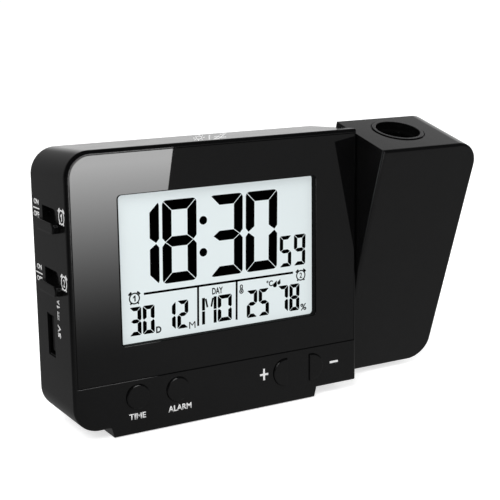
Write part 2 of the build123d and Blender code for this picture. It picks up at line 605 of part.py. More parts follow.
SHELL_WALL = 0.4
USB_MOUTH, USB_END = BODY_LEFT + 0.3, -37.2
USB_FRONT, USB_BACK = USB_Y - USB_DEEP / 2, USB_Y + USB_DEEP / 2
USB_LOW, USB_HIGH = USB_Z - USB_TALL / 2, USB_Z + USB_TALL / 2
with BuildPart() as usb_shell:
    block((USB_MOUTH, USB_FRONT, USB_LOW), (USB_END, USB_BACK, USB_HIGH))
    block((USB_MOUTH, USB_FRONT + SHELL_WALL, USB_LOW + SHELL_WALL),
          (USB_END - SHELL_WALL, USB_BACK - SHELL_WALL, USB_HIGH - SHELL_WALL), Mode.SUBTRACT)
save(usb_shell, "usb_shell")

TONGUE_FRONT, TONGUE_BACK, TONGUE_HALF = USB_Y - 0.25, USB_Y + 1.6, 5.6
with BuildPart() as usb_tongue:
    block((USB_MOUTH + 0.8, TONGUE_FRONT, USB_Z - TONGUE_HALF),
          (USB_END - SHELL_WALL, TONGUE_BACK, USB_Z + TONGUE_HALF))
save(usb_tongue, "usb_tongue")

with BuildPart() as usb_contacts:
    for offset in (-3.5, -1.0, 1.0, 3.5):
        block((USB_MOUTH + 1.4, TONGUE_FRONT - 0.15, USB_Z + offset - 0.5),
              (USB_END - 1.5, TONGUE_FRONT, USB_Z + offset + 0.5))
save(usb_contacts, "usb_contacts")

SOCKET_HALF, SOCKET_FACE = 4.5, BACK - 0.3
PLUG_BORE_R, PLUG_BORE_END, PIN_R = 2.75, 4.5, 0.9
with BuildPart() as power_socket:
    block((SOCKET_X - SOCKET_HALF, BOARD_BACK, SOCKET_Z - SOCKET_HALF),
          (SOCKET_X + SOCKET_HALF, BACK_INSIDE - 0.05, SOCKET_Z + SOCKET_HALF))
    rod((SOCKET_X, BACK_INSIDE - 0.5, SOCKET_Z), SOCKET_FACE - BACK_INSIDE + 0.5, COLLAR_R, "y")
    rod((SOCKET_X, PLUG_BORE_END, SOCKET_Z), BACK - PLUG_BORE_END, PLUG_BORE_R, "y", Mode.SUBTRACT)
save(power_socket, "power_socket")

with BuildPart() as power_pin:
    rod((SOCKET_X, PLUG_BORE_END, SOCKET_Z), SOCKET_FACE - PLUG_BORE_END - 1.0, PIN_R, "y")
    fillet(power_pin.faces().sort_by(Axis.Y)[-1].edges(), 0.4)
save(power_pin, "power_pin")

# ---- batteries, contacts and door ---------------------------------------------------

CELL_R, CELL_LENGTH, NUB_R, NUB = 5.25, 43.7, 1.9, 0.8
CELL_Y = WELL_FLOOR + CELL_R + 0.05
LOWER_CELL_Z, UPPER_CELL_Z = 34.6, 46.4
CONTACT, BUMP, BUMP_R, LEAF = 0.4, 0.9, 2.2, 3.8

with BuildPart() as battery_cells:
    lower_start = WELL[0] + CONTACT + LEAF
    rod((lower_start, CELL_Y, LOWER_CELL_Z), CELL_LENGTH, CELL_R, "x")
    rod((lower_start + CELL_LENGTH, CELL_Y, LOWER_CELL_Z), NUB, NUB_R, "x")
    upper_start = WELL[2] - CONTACT - LEAF - CELL_LENGTH
    rod((upper_start, CELL_Y, UPPER_CELL_Z), CELL_LENGTH, CELL_R, "x")
    rod((upper_start - NUB, CELL_Y, UPPER_CELL_Z), NUB, NUB_R, "x")
save(battery_cells, "battery_cells")


def contact_plate(x, side, z):
    """A contact plate on an end wall of the well; returns where its face is."""
    face = x + side * CONTACT
    block((min(x, face), CELL_Y - 4, z - 4), (max(x, face), CELL_Y + 4, z + 4))
    return face


def bump_contact(x, side, z):
    """The flat contact for a cell's nub."""
    face = contact_plate(x, side, z)
    rod((min(face, face + side * BUMP), CELL_Y, z), BUMP, BUMP_R, "x")


def leaf_contact(x, side, z):
    """The bent leaf that presses on a cell's flat end."""
    face = contact_plate(x, side, z)
    tip = face + side * (LEAF - 0.3)
    with BuildSketch(Plane.XY.offset(z - 2)) as leaf:
        with BuildLine():
            Polyline((face, CELL_Y - 3.5), (tip, CELL_Y), (face + side, CELL_Y + 3.0))
        trace(line_width=0.35)
    extrude(leaf.sketch, 4)


with BuildPart() as battery_contacts:
    leaf_contact(WELL[0], 1, LOWER_CELL_Z)
    bump_contact(WELL[2], -1, LOWER_CELL_Z)
    leaf_contact(WELL[2], -1, UPPER_CELL_Z)
    bump_contact(WELL[0], 1, UPPER_CELL_Z)
save(battery_contacts, "battery_contacts")

RIDGES, RIDGE_PITCH, RIDGE_WIDE, RIDGE_DEEP = 4, 1.8, 0.8, 0.4
with BuildPart() as battery_door:
    x0, z0, x1, z1 = DOOR
    block((x0 + DOOR_GAP, BACK - DOOR_THICK, z0 + DOOR_GAP), (x1 - DOOR_GAP, BACK, z1 - DOOR_GAP))
    # finger ridges near the upper edge
    for step in range(RIDGES):
        z = z1 - 3.0 - RIDGE_PITCH * step
        block((-9.0, BACK - RIDGE_DEEP, z), (4.0, BACK, z + RIDGE_WIDE), Mode.SUBTRACT)
    # two hooks that reach down behind the lower edge of the opening
    for x in HOOKS_X:
        block((x - HOOK_HALF, HOOK_FRONT, HOOK_LOW), (x + HOOK_HALF, HOOK_BACK, HOOK_HIGH))
        block((x - HOOK_HALF, HOOK_BACK, HOOK_NECK), (x + HOOK_HALF, BACK - DOOR_THICK, HOOK_HIGH))
save(battery_door, "battery_door")

# ---- sounder, touch electrode and air sensor ----------------------------------------

SPEAKER_FACE = BACK_INSIDE - 0.1
with BuildPart() as speaker:
    rod((SPEAKER_X, SPEAKER_FACE - 3.6, SPEAKER_Z), 3.6, SPEAKER_R, "y")
    rod((SPEAKER_X, SPEAKER_FACE - 1.2, SPEAKER_Z), 2.0, SPEAKER_R - 1.2, "y", Mode.SUBTRACT)
    rod((SPEAKER_X, SPEAKER_FACE - 6.0, SPEAKER_Z), 3.0, 5.0, "y")
save(speaker, "speaker")

TOUCH_X, TOUCH_Y = -4.0, 2.0
UNDER_TOP = Plane(
    origin=(TOUCH_X, TOUCH_Y, BODY_TOP - WALL / cos(radians(TOP_SLOPE)) - SLOPE * (TOUCH_Y - FRONT)),
    x_dir=(1, 0, 0),
    z_dir=OPTIC.z_dir,
)
with BuildPart(UNDER_TOP) as touch_plate:
    with Locations((0, 0, -0.2)):
        Box(40, 12, 0.3)
save(touch_plate, "touch_plate")

with BuildPart() as air_sensor:
    block((SENSOR_X - 5.5, SENSOR_BACK - 1.2, SENSOR_Z - 4),
          (SENSOR_X + 5.5, SENSOR_BACK, SENSOR_Z + 4))
    block((SENSOR_X - 2, SENSOR_BACK, SENSOR_Z - 2), (SENSOR_X + 2, SENSOR_BACK + 1.6, SENSOR_Z + 2))
save(air_sensor, "air_sensor")

with BuildPart() as case_screws:
    for x, z in CASE_POSTS:
        rod((x, CASE_HEAD, z), HEAD_H, HEAD_R, "y")
        rod((x, CASE_JOIN - SCREW_BITE, z), CASE_HEAD - CASE_JOIN + SCREW_BITE, SCREW_R, "y")
save(case_screws, "case_screws")

# ---- pivot --------------------------------------------------------------------------

CLIP_AT, CLIP_THICK, GROOVE_R, CLIP_R = 49.4, 0.9, 5.6, 8.4
AXLE_SCREWS = (90, 210, 330)  # degrees round the axle
AXLE_SCREW_REACH, AXLE_SCREW_R, AXLE_SCREW_BITE = 8.6, 0.9, 1.0

with BuildPart() as pivot_bush:
    rod((RIGHT_INSIDE, 0, PIVOT_HEIGHT), WALL - 0.05, BUSH_R, "x")
    rod((RIGHT_INSIDE - BUSH_FLANGE, 0, PIVOT_HEIGHT), BUSH_FLANGE, BUSH_FLANGE_R, "x")
    rod((RIGHT_INSIDE - 2, 0, PIVOT_HEIGHT), 2 * WALL, AXLE_R + RUNNING, "x", Mode.SUBTRACT)
save(pivot_bush, "pivot_bush")


def at_axle_screws(start, length, radius, mode=Mode.ADD):
    """A rod along x at each of the screws that hold the axle to the arm's cover."""
    for angle in AXLE_SCREWS:
        y = AXLE_SCREW_REACH * cos(radians(angle))
        z = PIVOT_HEIGHT + AXLE_SCREW_REACH * sin(radians(angle))
        rod((start, y, z), length, radius, "x", mode)


with BuildPart() as pivot_axle:
    rod((AXLE_START, 0, PIVOT_HEIGHT), COVER_BACK - AXLE_START, AXLE_R, "x")
    rod((COVER_BACK, 0, PIVOT_HEIGHT), AXLE_FLANGE, AXLE_FLANGE_R, "x")
    rod((CLIP_AT, 0, PIVOT_HEIGHT), CLIP_THICK, AXLE_R + 1, "x", Mode.SUBTRACT)
    rod((CLIP_AT, 0, PIVOT_HEIGHT), CLIP_THICK, GROOVE_R, "x")
    rod((AXLE_START, 0, PIVOT_HEIGHT), 20.0, AXLE_BORE, "x", Mode.SUBTRACT)
    at_axle_screws(COVER_BACK, AXLE_FLANGE, AXLE_SCREW_R + 0.1, Mode.SUBTRACT)
save_tilted(pivot_axle, "pivot_axle")

with BuildPart() as axle_screws:
    at_axle_screws(COVER_BACK - AXLE_SCREW_BITE, AXLE_FLANGE + AXLE_SCREW_BITE, AXLE_SCREW_R)
    at_axle_screws(COVER_BACK + AXLE_FLANGE, 1.0, 1.6)
save_tilted(axle_screws, "axle_screws")

WASHER_FACE = RIGHT_INSIDE - BUSH_FLANGE - 0.15
WASHER_THICK = 0.35
with BuildPart() as spring_washer:
    # a dished ring between the bush's flange and the clip
    inner, outer = PIVOT_HEIGHT + AXLE_R + 0.15, PIVOT_HEIGHT + BUSH_FLANGE_R - 0.2
    near = CLIP_AT + CLIP_THICK
    with BuildSketch(Plane.XZ):
        with BuildLine():
            Polyline(
                (near, inner),
                (near + WASHER_THICK, inner),
                (WASHER_FACE, outer),
                (WASHER_FACE - WASHER_THICK, outer),
                close=True,
            )
        make_face()
    revolve(axis=PIVOT)
save_tilted(spring_washer, "spring_washer")

with BuildPart() as retaining_clip:
    rod((CLIP_AT + 0.05, 0, PIVOT_HEIGHT), CLIP_THICK - 0.1, CLIP_R, "x")
    rod((CLIP_AT, 0, PIVOT_HEIGHT), CLIP_THICK, GROOVE_R + 0.05, "x", Mode.SUBTRACT)
    block((CLIP_AT, -3.5, PIVOT_HEIGHT - 12), (CLIP_AT + 1, 3.5, PIVOT_HEIGHT), Mode.SUBTRACT)
save_tilted(retaining_clip, "retaining_clip")

# ---- arm housing and cover ----------------------------------------------------------

COVER_SCREWS = [(10.2, 16.0), (-10.2, 16.0), (10.2, 66.0)]  # as y and z
COVER_BOSS_R, COVER_BOSS_END = 2.6, 62.4
COVER_HEAD, COVER_HEAD_R, COVER_HEAD_H = ARM_LEFT + 1.2, 2.0, 1.0

with BuildPart(OPTIC) as projector_posts:
    for side in (-1, 1):
        rod((side * POST_REACH, 0, POST_END), -POST_END - 1, POST_R, "z")
        rod((side * POST_REACH, 0, POST_END), 6.0, 1.0, "z", Mode.SUBTRACT)

with BuildPart(OPTIC) as ring_hole:
    disc(-5, 2, RING_OUT + RUNNING)
    disc(-RING_GROOVE, 2, RING_GROOVE_R)

with BuildPart() as arm_housing:
    add(arm_blank())
    fillet(arm_housing.faces().sort_by(Axis.Y)[0].edges(), ARM_FRONT_ROUND)
    fillet(arm_housing.faces().sort_by(Axis.Y)[-1].edges(), ARM_BACK_ROUND)
    add(arm_blank(ARM_WALL, COVER_BACK - 0.5), mode=Mode.SUBTRACT)
    add(projector_posts.part)
    for y, z in COVER_SCREWS:
        rod((COVER_BACK, y, z), COVER_BOSS_END - COVER_BACK, COVER_BOSS_R, "x")
        rod((COVER_BACK, y, z), COVER_BOSS_END - COVER_BACK - 1, SCREW_R, "x", Mode.SUBTRACT)
    add(arm_blank(COVER_INSET, ARM_LEFT - 1, COVER_BACK), mode=Mode.SUBTRACT)
    add(ring_hole.part, mode=Mode.SUBTRACT)
save_tilted(arm_housing, "arm_housing")

with BuildPart() as arm_cover:
    add(arm_blank(COVER_INSET + 0.1, ARM_LEFT, COVER_BACK))
    rod((ARM_LEFT, 0, PIVOT_HEIGHT), COVER_THICK, AXLE_R + 0.1, "x", Mode.SUBTRACT)
    at_axle_screws(COVER_BACK - AXLE_SCREW_BITE, AXLE_SCREW_BITE, AXLE_SCREW_R, Mode.SUBTRACT)
    for y, z in COVER_SCREWS:
        rod((ARM_LEFT, y, z), COVER_THICK, SCREW_HOLE, "x", Mode.SUBTRACT)
        rod((ARM_LEFT, y, z), COVER_HEAD - ARM_LEFT, COVER_HEAD_R + 0.15, "x", Mode.SUBTRACT)
save_tilted(arm_cover, "arm_cover")

with BuildPart() as cover_screws:
    for y, z in COVER_SCREWS:
        rod((COVER_HEAD - COVER_HEAD_H, y, z), COVER_HEAD_H, COVER_HEAD_R, "x")
        rod((COVER_HEAD, y, z), 4.5, SCREW_R, "x")
save_tilted(cover_screws, "cover_screws")

# ---- projector ----------------------------------------------------------------------

RING_SEAT = -ARM_WALL - 0.08
LUG_HALF, LUG_REACH, LUG_LOW, LUG_HIGH = 0.75, 8.6, -11.5, -9.5
LUG_TRAVEL = 1.2
ELEMENT_R, CONDENSER_R = 6.2, 7.4

with BuildPart(OPTIC) as focus_ring:
    disc(RING_SEAT, RING_PROUD, RING_OUT)
    disc(RING_SEAT - RING_FLANGE, RING_SEAT, RING_FLANGE_R)
    disc(RING_SEAT - RING_FLANGE, RING_PROUD, RING_IN, Mode.SUBTRACT)
    fillet(focus_ring.faces().sort_by(Axis.Z)[-1].edges(), 0.2)
save_tilted(focus_ring, "focus_ring")

with BuildPart(OPTIC) as lens_barrel:
    disc(BARREL_END, BARREL_TOP, BARREL_OUT)
    # a lug that runs in the tube's slot keeps the barrel from turning
    block((BARREL_IN + 0.5, -LUG_HALF, LUG_LOW), (LUG_REACH, LUG_HALF, LUG_HIGH))
    disc(BARREL_END, BARREL_TOP - 0.7, BARREL_IN, Mode.SUBTRACT)
    disc(BARREL_TOP - 0.7, BARREL_TOP, BARREL_LIP, Mode.SUBTRACT)
save_tilted(lens_barrel, "lens_barrel")


def optic_element(low, edge, dome, radius):
    """A flat-backed lens: its rim ends at edge, and its face rises by dome."""
    ball = (radius**2 + dome**2) / (2 * dome)
    with BuildPart(OPTIC) as element:
        disc(low, edge + dome, radius)
        with Locations((0, 0, edge + dome - ball)):
            Sphere(ball, mode=Mode.INTERSECT)
    return element


save_tilted(optic_element(-5.5, -4.2, 1.2, ELEMENT_R), "front_element")
save_tilted(optic_element(-14.0, -12.8, 0.8, ELEMENT_R), "rear_element")
save_tilted(optic_element(-30.0, -28.0, 2.0, CONDENSER_R), "condenser_lens")

EAR_THICK = 1.5
with BuildPart(OPTIC) as projector_tube:
    disc(TUBE_END, TUBE_TOP, TUBE_OUT)
    block((-GATE_HALF, -GATE_HALF, GATE_END), (GATE_HALF, GATE_HALF, TUBE_END))
    ear = POST_REACH + POST_R
    block((-ear, -POST_R, POST_END - EAR_THICK), (ear, POST_R, POST_END))
    disc(TUBE_END, TUBE_TOP, RING_IN, Mode.SUBTRACT)
    # light gate above, square housing below
    block((-5, -4, TUBE_END - GATE_PLATE), (5, 4, TUBE_END), Mode.SUBTRACT)
    room = GATE_HALF - GATE_WALL
    block((-room, -room, GATE_END), (room, room, TUBE_END - GATE_PLATE), Mode.SUBTRACT)
    # guide slot for the barrel's lug
    block((0, -LUG_HALF - 0.2, LUG_LOW - LUG_TRAVEL - 0.4),
          (TUBE_OUT + 1, LUG_HALF + 0.2, LUG_HIGH + LUG_TRAVEL + 0.4), Mode.SUBTRACT)
    for side in (-1, 1):
        rod((side * POST_REACH, 0, POST_END - EAR_THICK), EAR_THICK, 1.2, "z", Mode.SUBTRACT)
save_tilted(projector_tube, "projector_tube")

with BuildPart(OPTIC) as projector_screws:
    for side in (-1, 1):
        rod((side * POST_REACH, 0, POST_END - EAR_THICK - 1.1), 1.1, 2.0, "z")
        rod((side * POST_REACH, 0, POST_END - EAR_THICK), EAR_THICK + 5.0, 1.0, "z")
save_tilted(projector_screws, "projector_screws")

with BuildPart(OPTIC) as projection_lcd:
    block((-7.3, -6.5, TUBE_END - GATE_PLATE - 1.45), (7.3, 6.5, TUBE_END - GATE_PLATE - 0.05))
save_tilted(projection_lcd, "projection_lcd")

LED_BOARD_THICK, SINK_PLATE, SINK_END, FINS, FIN_HALF = 1.2, 1.5, -45.0, 5, 0.6
SINK_TOP = GATE_END - LED_BOARD_THICK
with BuildPart(OPTIC) as led_board:
    block((-GATE_HALF, -GATE_HALF, SINK_TOP), (GATE_HALF, GATE_HALF, GATE_END))
save_tilted(led_board, "led_board")

with BuildPart(OPTIC) as projector_led:
    block((-1.75, -1.75, GATE_END), (1.75, 1.75, GATE_END + 1.0))
    disc(GATE_END + 1.0, GATE_END + 1.6, 1.3)
save_tilted(projector_led, "projector_led")

with BuildPart(OPTIC) as heat_sink:
    block((-GATE_HALF, -GATE_HALF, SINK_TOP - SINK_PLATE), (GATE_HALF, GATE_HALF, SINK_TOP))
    for step in range(FINS):
        x = (step / (FINS - 1) * 2 - 1) * (GATE_HALF - FIN_HALF)
        block((x - FIN_HALF, -GATE_HALF, SINK_END), (x + FIN_HALF, GATE_HALF, SINK_TOP - SINK_PLATE))
save_tilted(heat_sink, "heat_sink")
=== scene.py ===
import json
from math import cos, pi, radians, sin, tan

import bmesh
import bpy
from mathutils import Matrix, Vector


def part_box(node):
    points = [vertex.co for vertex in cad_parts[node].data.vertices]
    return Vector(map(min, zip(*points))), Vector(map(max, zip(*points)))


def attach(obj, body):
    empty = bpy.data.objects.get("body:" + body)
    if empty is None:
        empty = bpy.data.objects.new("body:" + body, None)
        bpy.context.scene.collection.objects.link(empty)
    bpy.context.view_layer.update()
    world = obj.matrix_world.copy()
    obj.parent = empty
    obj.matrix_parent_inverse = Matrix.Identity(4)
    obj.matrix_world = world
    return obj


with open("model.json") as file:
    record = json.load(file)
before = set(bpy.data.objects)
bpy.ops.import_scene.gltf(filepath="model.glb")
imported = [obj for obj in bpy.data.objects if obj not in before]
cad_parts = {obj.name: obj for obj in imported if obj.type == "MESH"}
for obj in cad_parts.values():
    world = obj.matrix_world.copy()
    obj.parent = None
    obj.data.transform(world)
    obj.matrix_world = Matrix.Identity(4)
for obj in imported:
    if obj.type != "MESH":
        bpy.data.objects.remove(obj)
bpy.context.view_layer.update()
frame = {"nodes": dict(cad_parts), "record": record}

# Looks of a projection alarm clock. Blender works in metres, and the marks on the
# faces are written in millimetres, in the axes of the model: X to the reader's right,
# Y away from the reader and Z up.

MM = 0.001


def grey(value, blue=1.0):
    """A neutral colour, with its blue share."""
    return (value, value, value * blue, 1.0)


# ---- node trees ---------------------------------------------------------------------


def put(tree, kind, inputs=(), **settings):
    """Adds a shader node. An input is a value, or an output socket to link from."""
    made = tree.nodes.new("ShaderNode" + kind)
    for name, value in settings.items():
        setattr(made, name, value)
    for key, value in dict(inputs).items():
        if isinstance(value, bpy.types.NodeSocket):
            tree.links.new(value, made.inputs[key])
        else:
            made.inputs[key].default_value = value
    return made


def noise(tree, place, size, detail=2.0):
    """Cloudy noise whose features have a size in millimetres."""
    values = {"Vector": place, "Scale": 1 / (size * MM), "Detail": detail}
    return put(tree, "TexNoise", values).outputs["Fac"]


def ranged(tree, value, low, high, start=0.3, end=0.7):
    """A value from start to end, carried over to low to high. Most noise is in 0.3 to 0.7."""
    values = {"Value": value, "From Min": start, "From Max": end, "To Min": low, "To Max": high}
    return put(tree, "MapRange", values).outputs["Result"]


def calc(tree, kind, first, second):
    """A sum, product or other operation on two values."""
    return put(tree, "Math", {0: first, 1: second}, operation=kind).outputs[0]


def shared(tree, share, first, second):
    """A share of the first value, and the rest of the second."""
    parts = calc(tree, "MULTIPLY", first, share), calc(tree, "MULTIPLY", second, 1 - share)
    return calc(tree, "ADD", *parts)


def mixed(tree, share, first, second):
    """Two colours mixed by a share."""
    values = {0: share, 6: first, 7: second}
    return put(tree, "Mix", values, data_type="RGBA").outputs[2]


def bumped(tree, height, depth):
    """A normal from a height, where depth is in millimetres."""
    values = {"Height": height, "Distance": depth * MM, "Strength": 1.0}
    return put(tree, "Bump", values).outputs["Normal"]


def stretched(tree, place, scale):
    """A place scaled along each axis, for brushed and drawn surfaces."""
    values = {0: place, 1: scale}
    return put(tree, "VectorMath", values, operation="MULTIPLY").outputs[0]


def split(tree, place):
    """A place's X, Y and Z."""
    return put(tree, "SeparateXYZ", {"Vector": place}).outputs


def surface(name, **values):
    """A new material: its tree, its shader with constant values set, and the place."""
    made = bpy.data.materials.new(name)
    made.use_nodes = True
    tree = made.node_tree
    shader = tree.nodes["Principled BSDF"]
    for key, value in values.items():
        shader.inputs[key.replace("_", " ")].default_value = value
    return made, tree, shader, put(tree, "TexCoord").outputs["Object"]


def wire(tree, shader, **sources):
    """Links sockets to the shader's inputs."""
    for key, socket in sources.items():
        tree.links.new(socket, shader.inputs[key.replace("_", " ")])


# ---- finishes -----------------------------------------------------------------------

# sizes of features on plastic, in millimetres
CLOUD = 9.0
SMUDGE, SPECK, WAVE = 14.0, 0.5, 45.0
WAVE_DEPTH = 0.004
DUST_FROM, DUST_TO, DUST_ROUGH = 0.74, 0.8, 0.12  # only a noise's peaks are specks


def moulded(name, dark, light, rough, grain, depth, **values):
    """Moulded plastic: spark grain in relief and tone, and cloudy roughness."""
    made, tree, shader, place = surface(name, **values)
    fine = noise(tree, place, grain, 3.0)
    cloud = noise(tree, place, CLOUD, 5.0)
    tone = shared(tree, 0.6, fine, cloud)
    wire(
        tree,
        shader,
        Base_Color=mixed(tree, ranged(tree, tone, 0.0, 1.0), dark, light),
        Roughness=ranged(tree, shared(tree, 0.5, fine, cloud), *rough),
        Normal=bumped(tree, fine, depth),
    )
    return made


def glossed(name, dark, light, rough, **values):
    """High gloss plastic: faint smudges, a few dust specks and a very slight wave."""
    made, tree, shader, place = surface(name, **values)
    smudge = noise(tree, place, SMUDGE, 6.0)
    specks = noise(tree, place, SPECK, 1.0)
    wave = noise(tree, place, WAVE, 0.0)
    dust = ranged(tree, specks, 0.0, DUST_ROUGH, DUST_FROM, DUST_TO)
    haze = ranged(tree, smudge, *rough, 0.45, 0.75)
    wire(
        tree,
        shader,
        Base_Color=mixed(tree, ranged(tree, smudge, 0.0, 1.0), dark, light),
        Roughness=calc(tree, "ADD", haze, dust),
        Normal=bumped(tree, wave, WAVE_DEPTH),
    )
    return made


def metal(name, dark, light, rough, stretch):
    """Rolled or drawn metal: streaks along one way, and cloudy tarnish."""
    made, tree, shader, place = surface(name, Metallic=1.0)
    streak = noise(tree, stretched(tree, place, stretch), 0.6, 3.0)
    cloud = noise(tree, place, 4.0, 4.0)
    wire(
        tree,
        shader,
        Base_Color=mixed(tree, ranged(tree, cloud, 0.0, 1.0), dark, light),
        Roughness=ranged(tree, streak, *rough),
        Normal=bumped(tree, streak, 0.004),
    )
    return made


def laminate(name):
    """Circuit board: solder mask over woven glass, with tracks showing through it."""
    made, tree, shader, place = surface(name)
    sizes = {"Vector": place, "Scale": 120.0, "Mortar Size": 0.06, "Brick Width": 0.9}
    brick = put(tree, "TexBrick", sizes).outputs["Fac"]
    weave = noise(tree, stretched(tree, place, (1.0, 1.0, 0.3)), 0.5, 1.0)
    cloud = noise(tree, place, 5.0, 3.0)
    mask = mixed(tree, cloud, (0.008, 0.10, 0.035, 1), (0.015, 0.17, 0.06, 1))
    wire(
        tree,
        shader,
        Base_Color=mixed(tree, brick, mask, (0.05, 0.26, 0.10, 1)),
        Roughness=ranged(tree, cloud, 0.28, 0.42),
        Normal=bumped(tree, weave, 0.01),
    )
    return made


# lengths along a battery cell, in millimetres: bare metal at its ends, the start of the
# band from its far end, and how wide the edge of the print is
BARE_NEAR, BARE_FAR, BAND_START, PRINT_EDGE = 1.2, 2.4, 11.2, 0.2


def jacket(name, node):
    """Battery cells: a printed sleeve with a band, between bare metal ends."""
    made, tree, shader, place = surface(name)
    low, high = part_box(node)
    along = split(tree, place)["X"]

    def edge(before, after, start):
        """One value before an edge of the print and another after it."""
        return ranged(tree, along, before, after, start, start + PRINT_EDGE * MM)

    near = edge(1.0, 0.0, low.x + BARE_NEAR * MM)
    far = edge(0.0, 1.0, high.x - BARE_FAR * MM)
    band = edge(0.0, 1.0, high.x - BAND_START * MM)
    ends = calc(tree, "ADD", near, far)
    cloud = noise(tree, place, 6.0, 3.0)
    fine = noise(tree, place, 0.4)
    sleeve = mixed(tree, cloud, (0.02, 0.07, 0.22, 1), (0.03, 0.10, 0.30, 1))
    sleeve = mixed(tree, band, sleeve, (0.45, 0.46, 0.48, 1))
    wire(
        tree,
        shader,
        Base_Color=mixed(tree, ends, sleeve, grey(0.6)),
        Metallic=ends,
        Roughness=ranged(tree, cloud, 0.22, 0.34),
        Normal=bumped(tree, fine, 0.002),
    )
    return made


def clear(name, tint, low, high):
    """Clear optical part: faint haze in its polish."""
    made, tree, shader, place = surface(name, Transmission_Weight=1.0, IOR=1.49)
    haze = noise(tree, place, 3.0, 4.0)
    wire(
        tree,
        shader,
        Base_Color=mixed(tree, haze, tint, (0.93, 0.96, 0.98, 1)),
        Roughness=ranged(tree, haze, low, high),
        Normal=bumped(tree, haze, 0.001),
    )
    return made


def lamp_chip(name):
    """White lamp: yellow phosphor, mottled."""
    made, tree, shader, place = surface(name)
    dots = noise(tree, place, 0.25, 2.0)
    wire(
        tree,
        shader,
        Base_Color=mixed(tree, dots, (0.72, 0.58, 0.16, 1), (0.85, 0.78, 0.42, 1)),
        Roughness=ranged(tree, dots, 0.3, 0.5),
        Normal=bumped(tree, dots, 0.01),
    )
    return made


DISPLAY_GLOW = 0.565
DISPLAY_LIGHT = (0.88, 0.96, 0.98, 1)


def display(name):
    """Lit ground of the display: diffusing film under a matt polariser."""
    made, tree, shader, place = surface(
        name,
        Emission_Strength=DISPLAY_GLOW,
        Emission_Color=DISPLAY_LIGHT,
        Specular_IOR_Level=0.15,
    )
    film = noise(tree, place, 0.3, 1.0)
    cloud = noise(tree, place, 25.0, 2.0)
    tone = shared(tree, 0.4, film, cloud)
    wire(
        tree,
        shader,
        Base_Color=mixed(tree, tone, (0.27, 0.30, 0.30, 1), (0.30, 0.33, 0.33, 1)),
        Roughness=ranged(tree, film, 0.42, 0.52),
        Normal=bumped(tree, film, 0.002),
    )
    return made


def print_finish(name, dark, light, rough, **values):
    """Printed or formed marks, with a fine uneven edge in tone and relief."""
    return moulded(name, dark, light, rough, 0.12, 0.002, **values)


BLACK, SOFT_BLACK = grey(0.0022, 1.05), grey(0.0036, 1.05)
ARM_BLACK, ARM_SOFT_BLACK = grey(0.0028, 1.04), grey(0.0044, 1.04)
PANEL_BLACK, PANEL_SOFT_BLACK = grey(0.0028, 1.05), grey(0.0034, 1.05)
ALONG_X, ALONG_Y = (0.12, 1.0, 1.0), (1.0, 0.12, 1.0)  # how a metal's streaks are drawn out

finishes = {
    "front_plastic": moulded("front_plastic", BLACK, SOFT_BLACK, (0.035, 0.06), 0.32, 0.001),
    "case_plastic": moulded("case_plastic", BLACK, SOFT_BLACK, (0.14, 0.20), 0.4, 0.002),
    "key_plastic": moulded("key_plastic", BLACK, SOFT_BLACK, (0.10, 0.16), 0.28, 0.001),
    "arm_plastic": moulded(
        "arm_plastic", ARM_BLACK, ARM_SOFT_BLACK, (0.12, 0.18), 0.36, 0.002
    ),
    "ring_plastic": glossed("ring_plastic", grey(0.0020), grey(0.0030), (0.12, 0.18)),
    "gloss_panel": glossed("gloss_panel", PANEL_BLACK, PANEL_SOFT_BLACK, (0.015, 0.03)),
    "adhesive": moulded("adhesive", grey(0.012), grey(0.02), (0.6, 0.75), 0.5, 0.01),
    "display": display("display"),
    "white_plastic": moulded(
        "white_plastic", grey(0.62, 0.97), grey(0.72, 0.97), (0.4, 0.5), 0.4, 0.01
    ),
    "rubber": moulded(
        "rubber", grey(0.012), grey(0.022), (0.7, 0.85), 0.6, 0.03, Specular_IOR_Level=0.3
    ),
    "led": lamp_chip("led"),
    "circuit_board": laminate("circuit_board"),
    "chip": moulded(
        "chip", grey(0.010), grey(0.016), (0.5, 0.62), 0.35, 0.02, Specular_IOR_Level=0.25
    ),
    "steel": metal("steel", grey(0.45), grey(0.58), (0.22, 0.4), ALONG_X),
    "brass": metal(
        "brass", (0.56, 0.40, 0.16, 1), (0.68, 0.52, 0.24, 1), (0.2, 0.36), ALONG_X
    ),
    "cell_jacket": jacket("cell_jacket", "battery_cells"),
    "optic_glass": clear("optic_glass", (0.90, 0.94, 0.96, 1), 0.01, 0.04),
    "aluminium": metal("aluminium", grey(0.6), grey(0.72), (0.3, 0.45), ALONG_Y),
}

# nodes that look unlike the rest of their slot
OWN_FINISH = {
    "usb_shell": metal("port_shell", grey(0.035), grey(0.06), (0.3, 0.45), ALONG_X),
    "usb_tongue": moulded("port_tongue", grey(0.008), grey(0.013), (0.4, 0.5), 0.3, 0.01),
}

for part in frame["record"]["subparts"]:
    name = part["node"]
    mesh = frame["nodes"][name].data
    mesh.materials.clear()
    mesh.materials.append(OWN_FINISH.get(name, finishes[part["material_slot"]]))

lcd_ink = print_finish(
    "lcd_ink", grey(0.0002), grey(0.0005), (0.5, 0.6), Specular_IOR_Level=0.0
)
lining = print_finish(
    "lining", grey(0.0010), grey(0.0020), (0.6, 0.7), Specular_IOR_Level=0.05
)
white_ink = print_finish("white_ink", grey(0.84), grey(0.94), (0.45, 0.55))

# ---- outlines -----------------------------------------------------------------------


def arc(x, y, radius, start=0.0, end=360.0, steps=24):
    """Points on an arc, from one angle to another in degrees."""
    angles = [radians(start + (end - start) * i / steps) for i in range(steps + 1)]
    return [(x + radius * cos(a), y + radius * sin(a)) for a in angles]


def circle(x, y, radius, steps=24):
    """Points round a whole circle."""
    return arc(x, y, radius, steps=steps)[:-1]


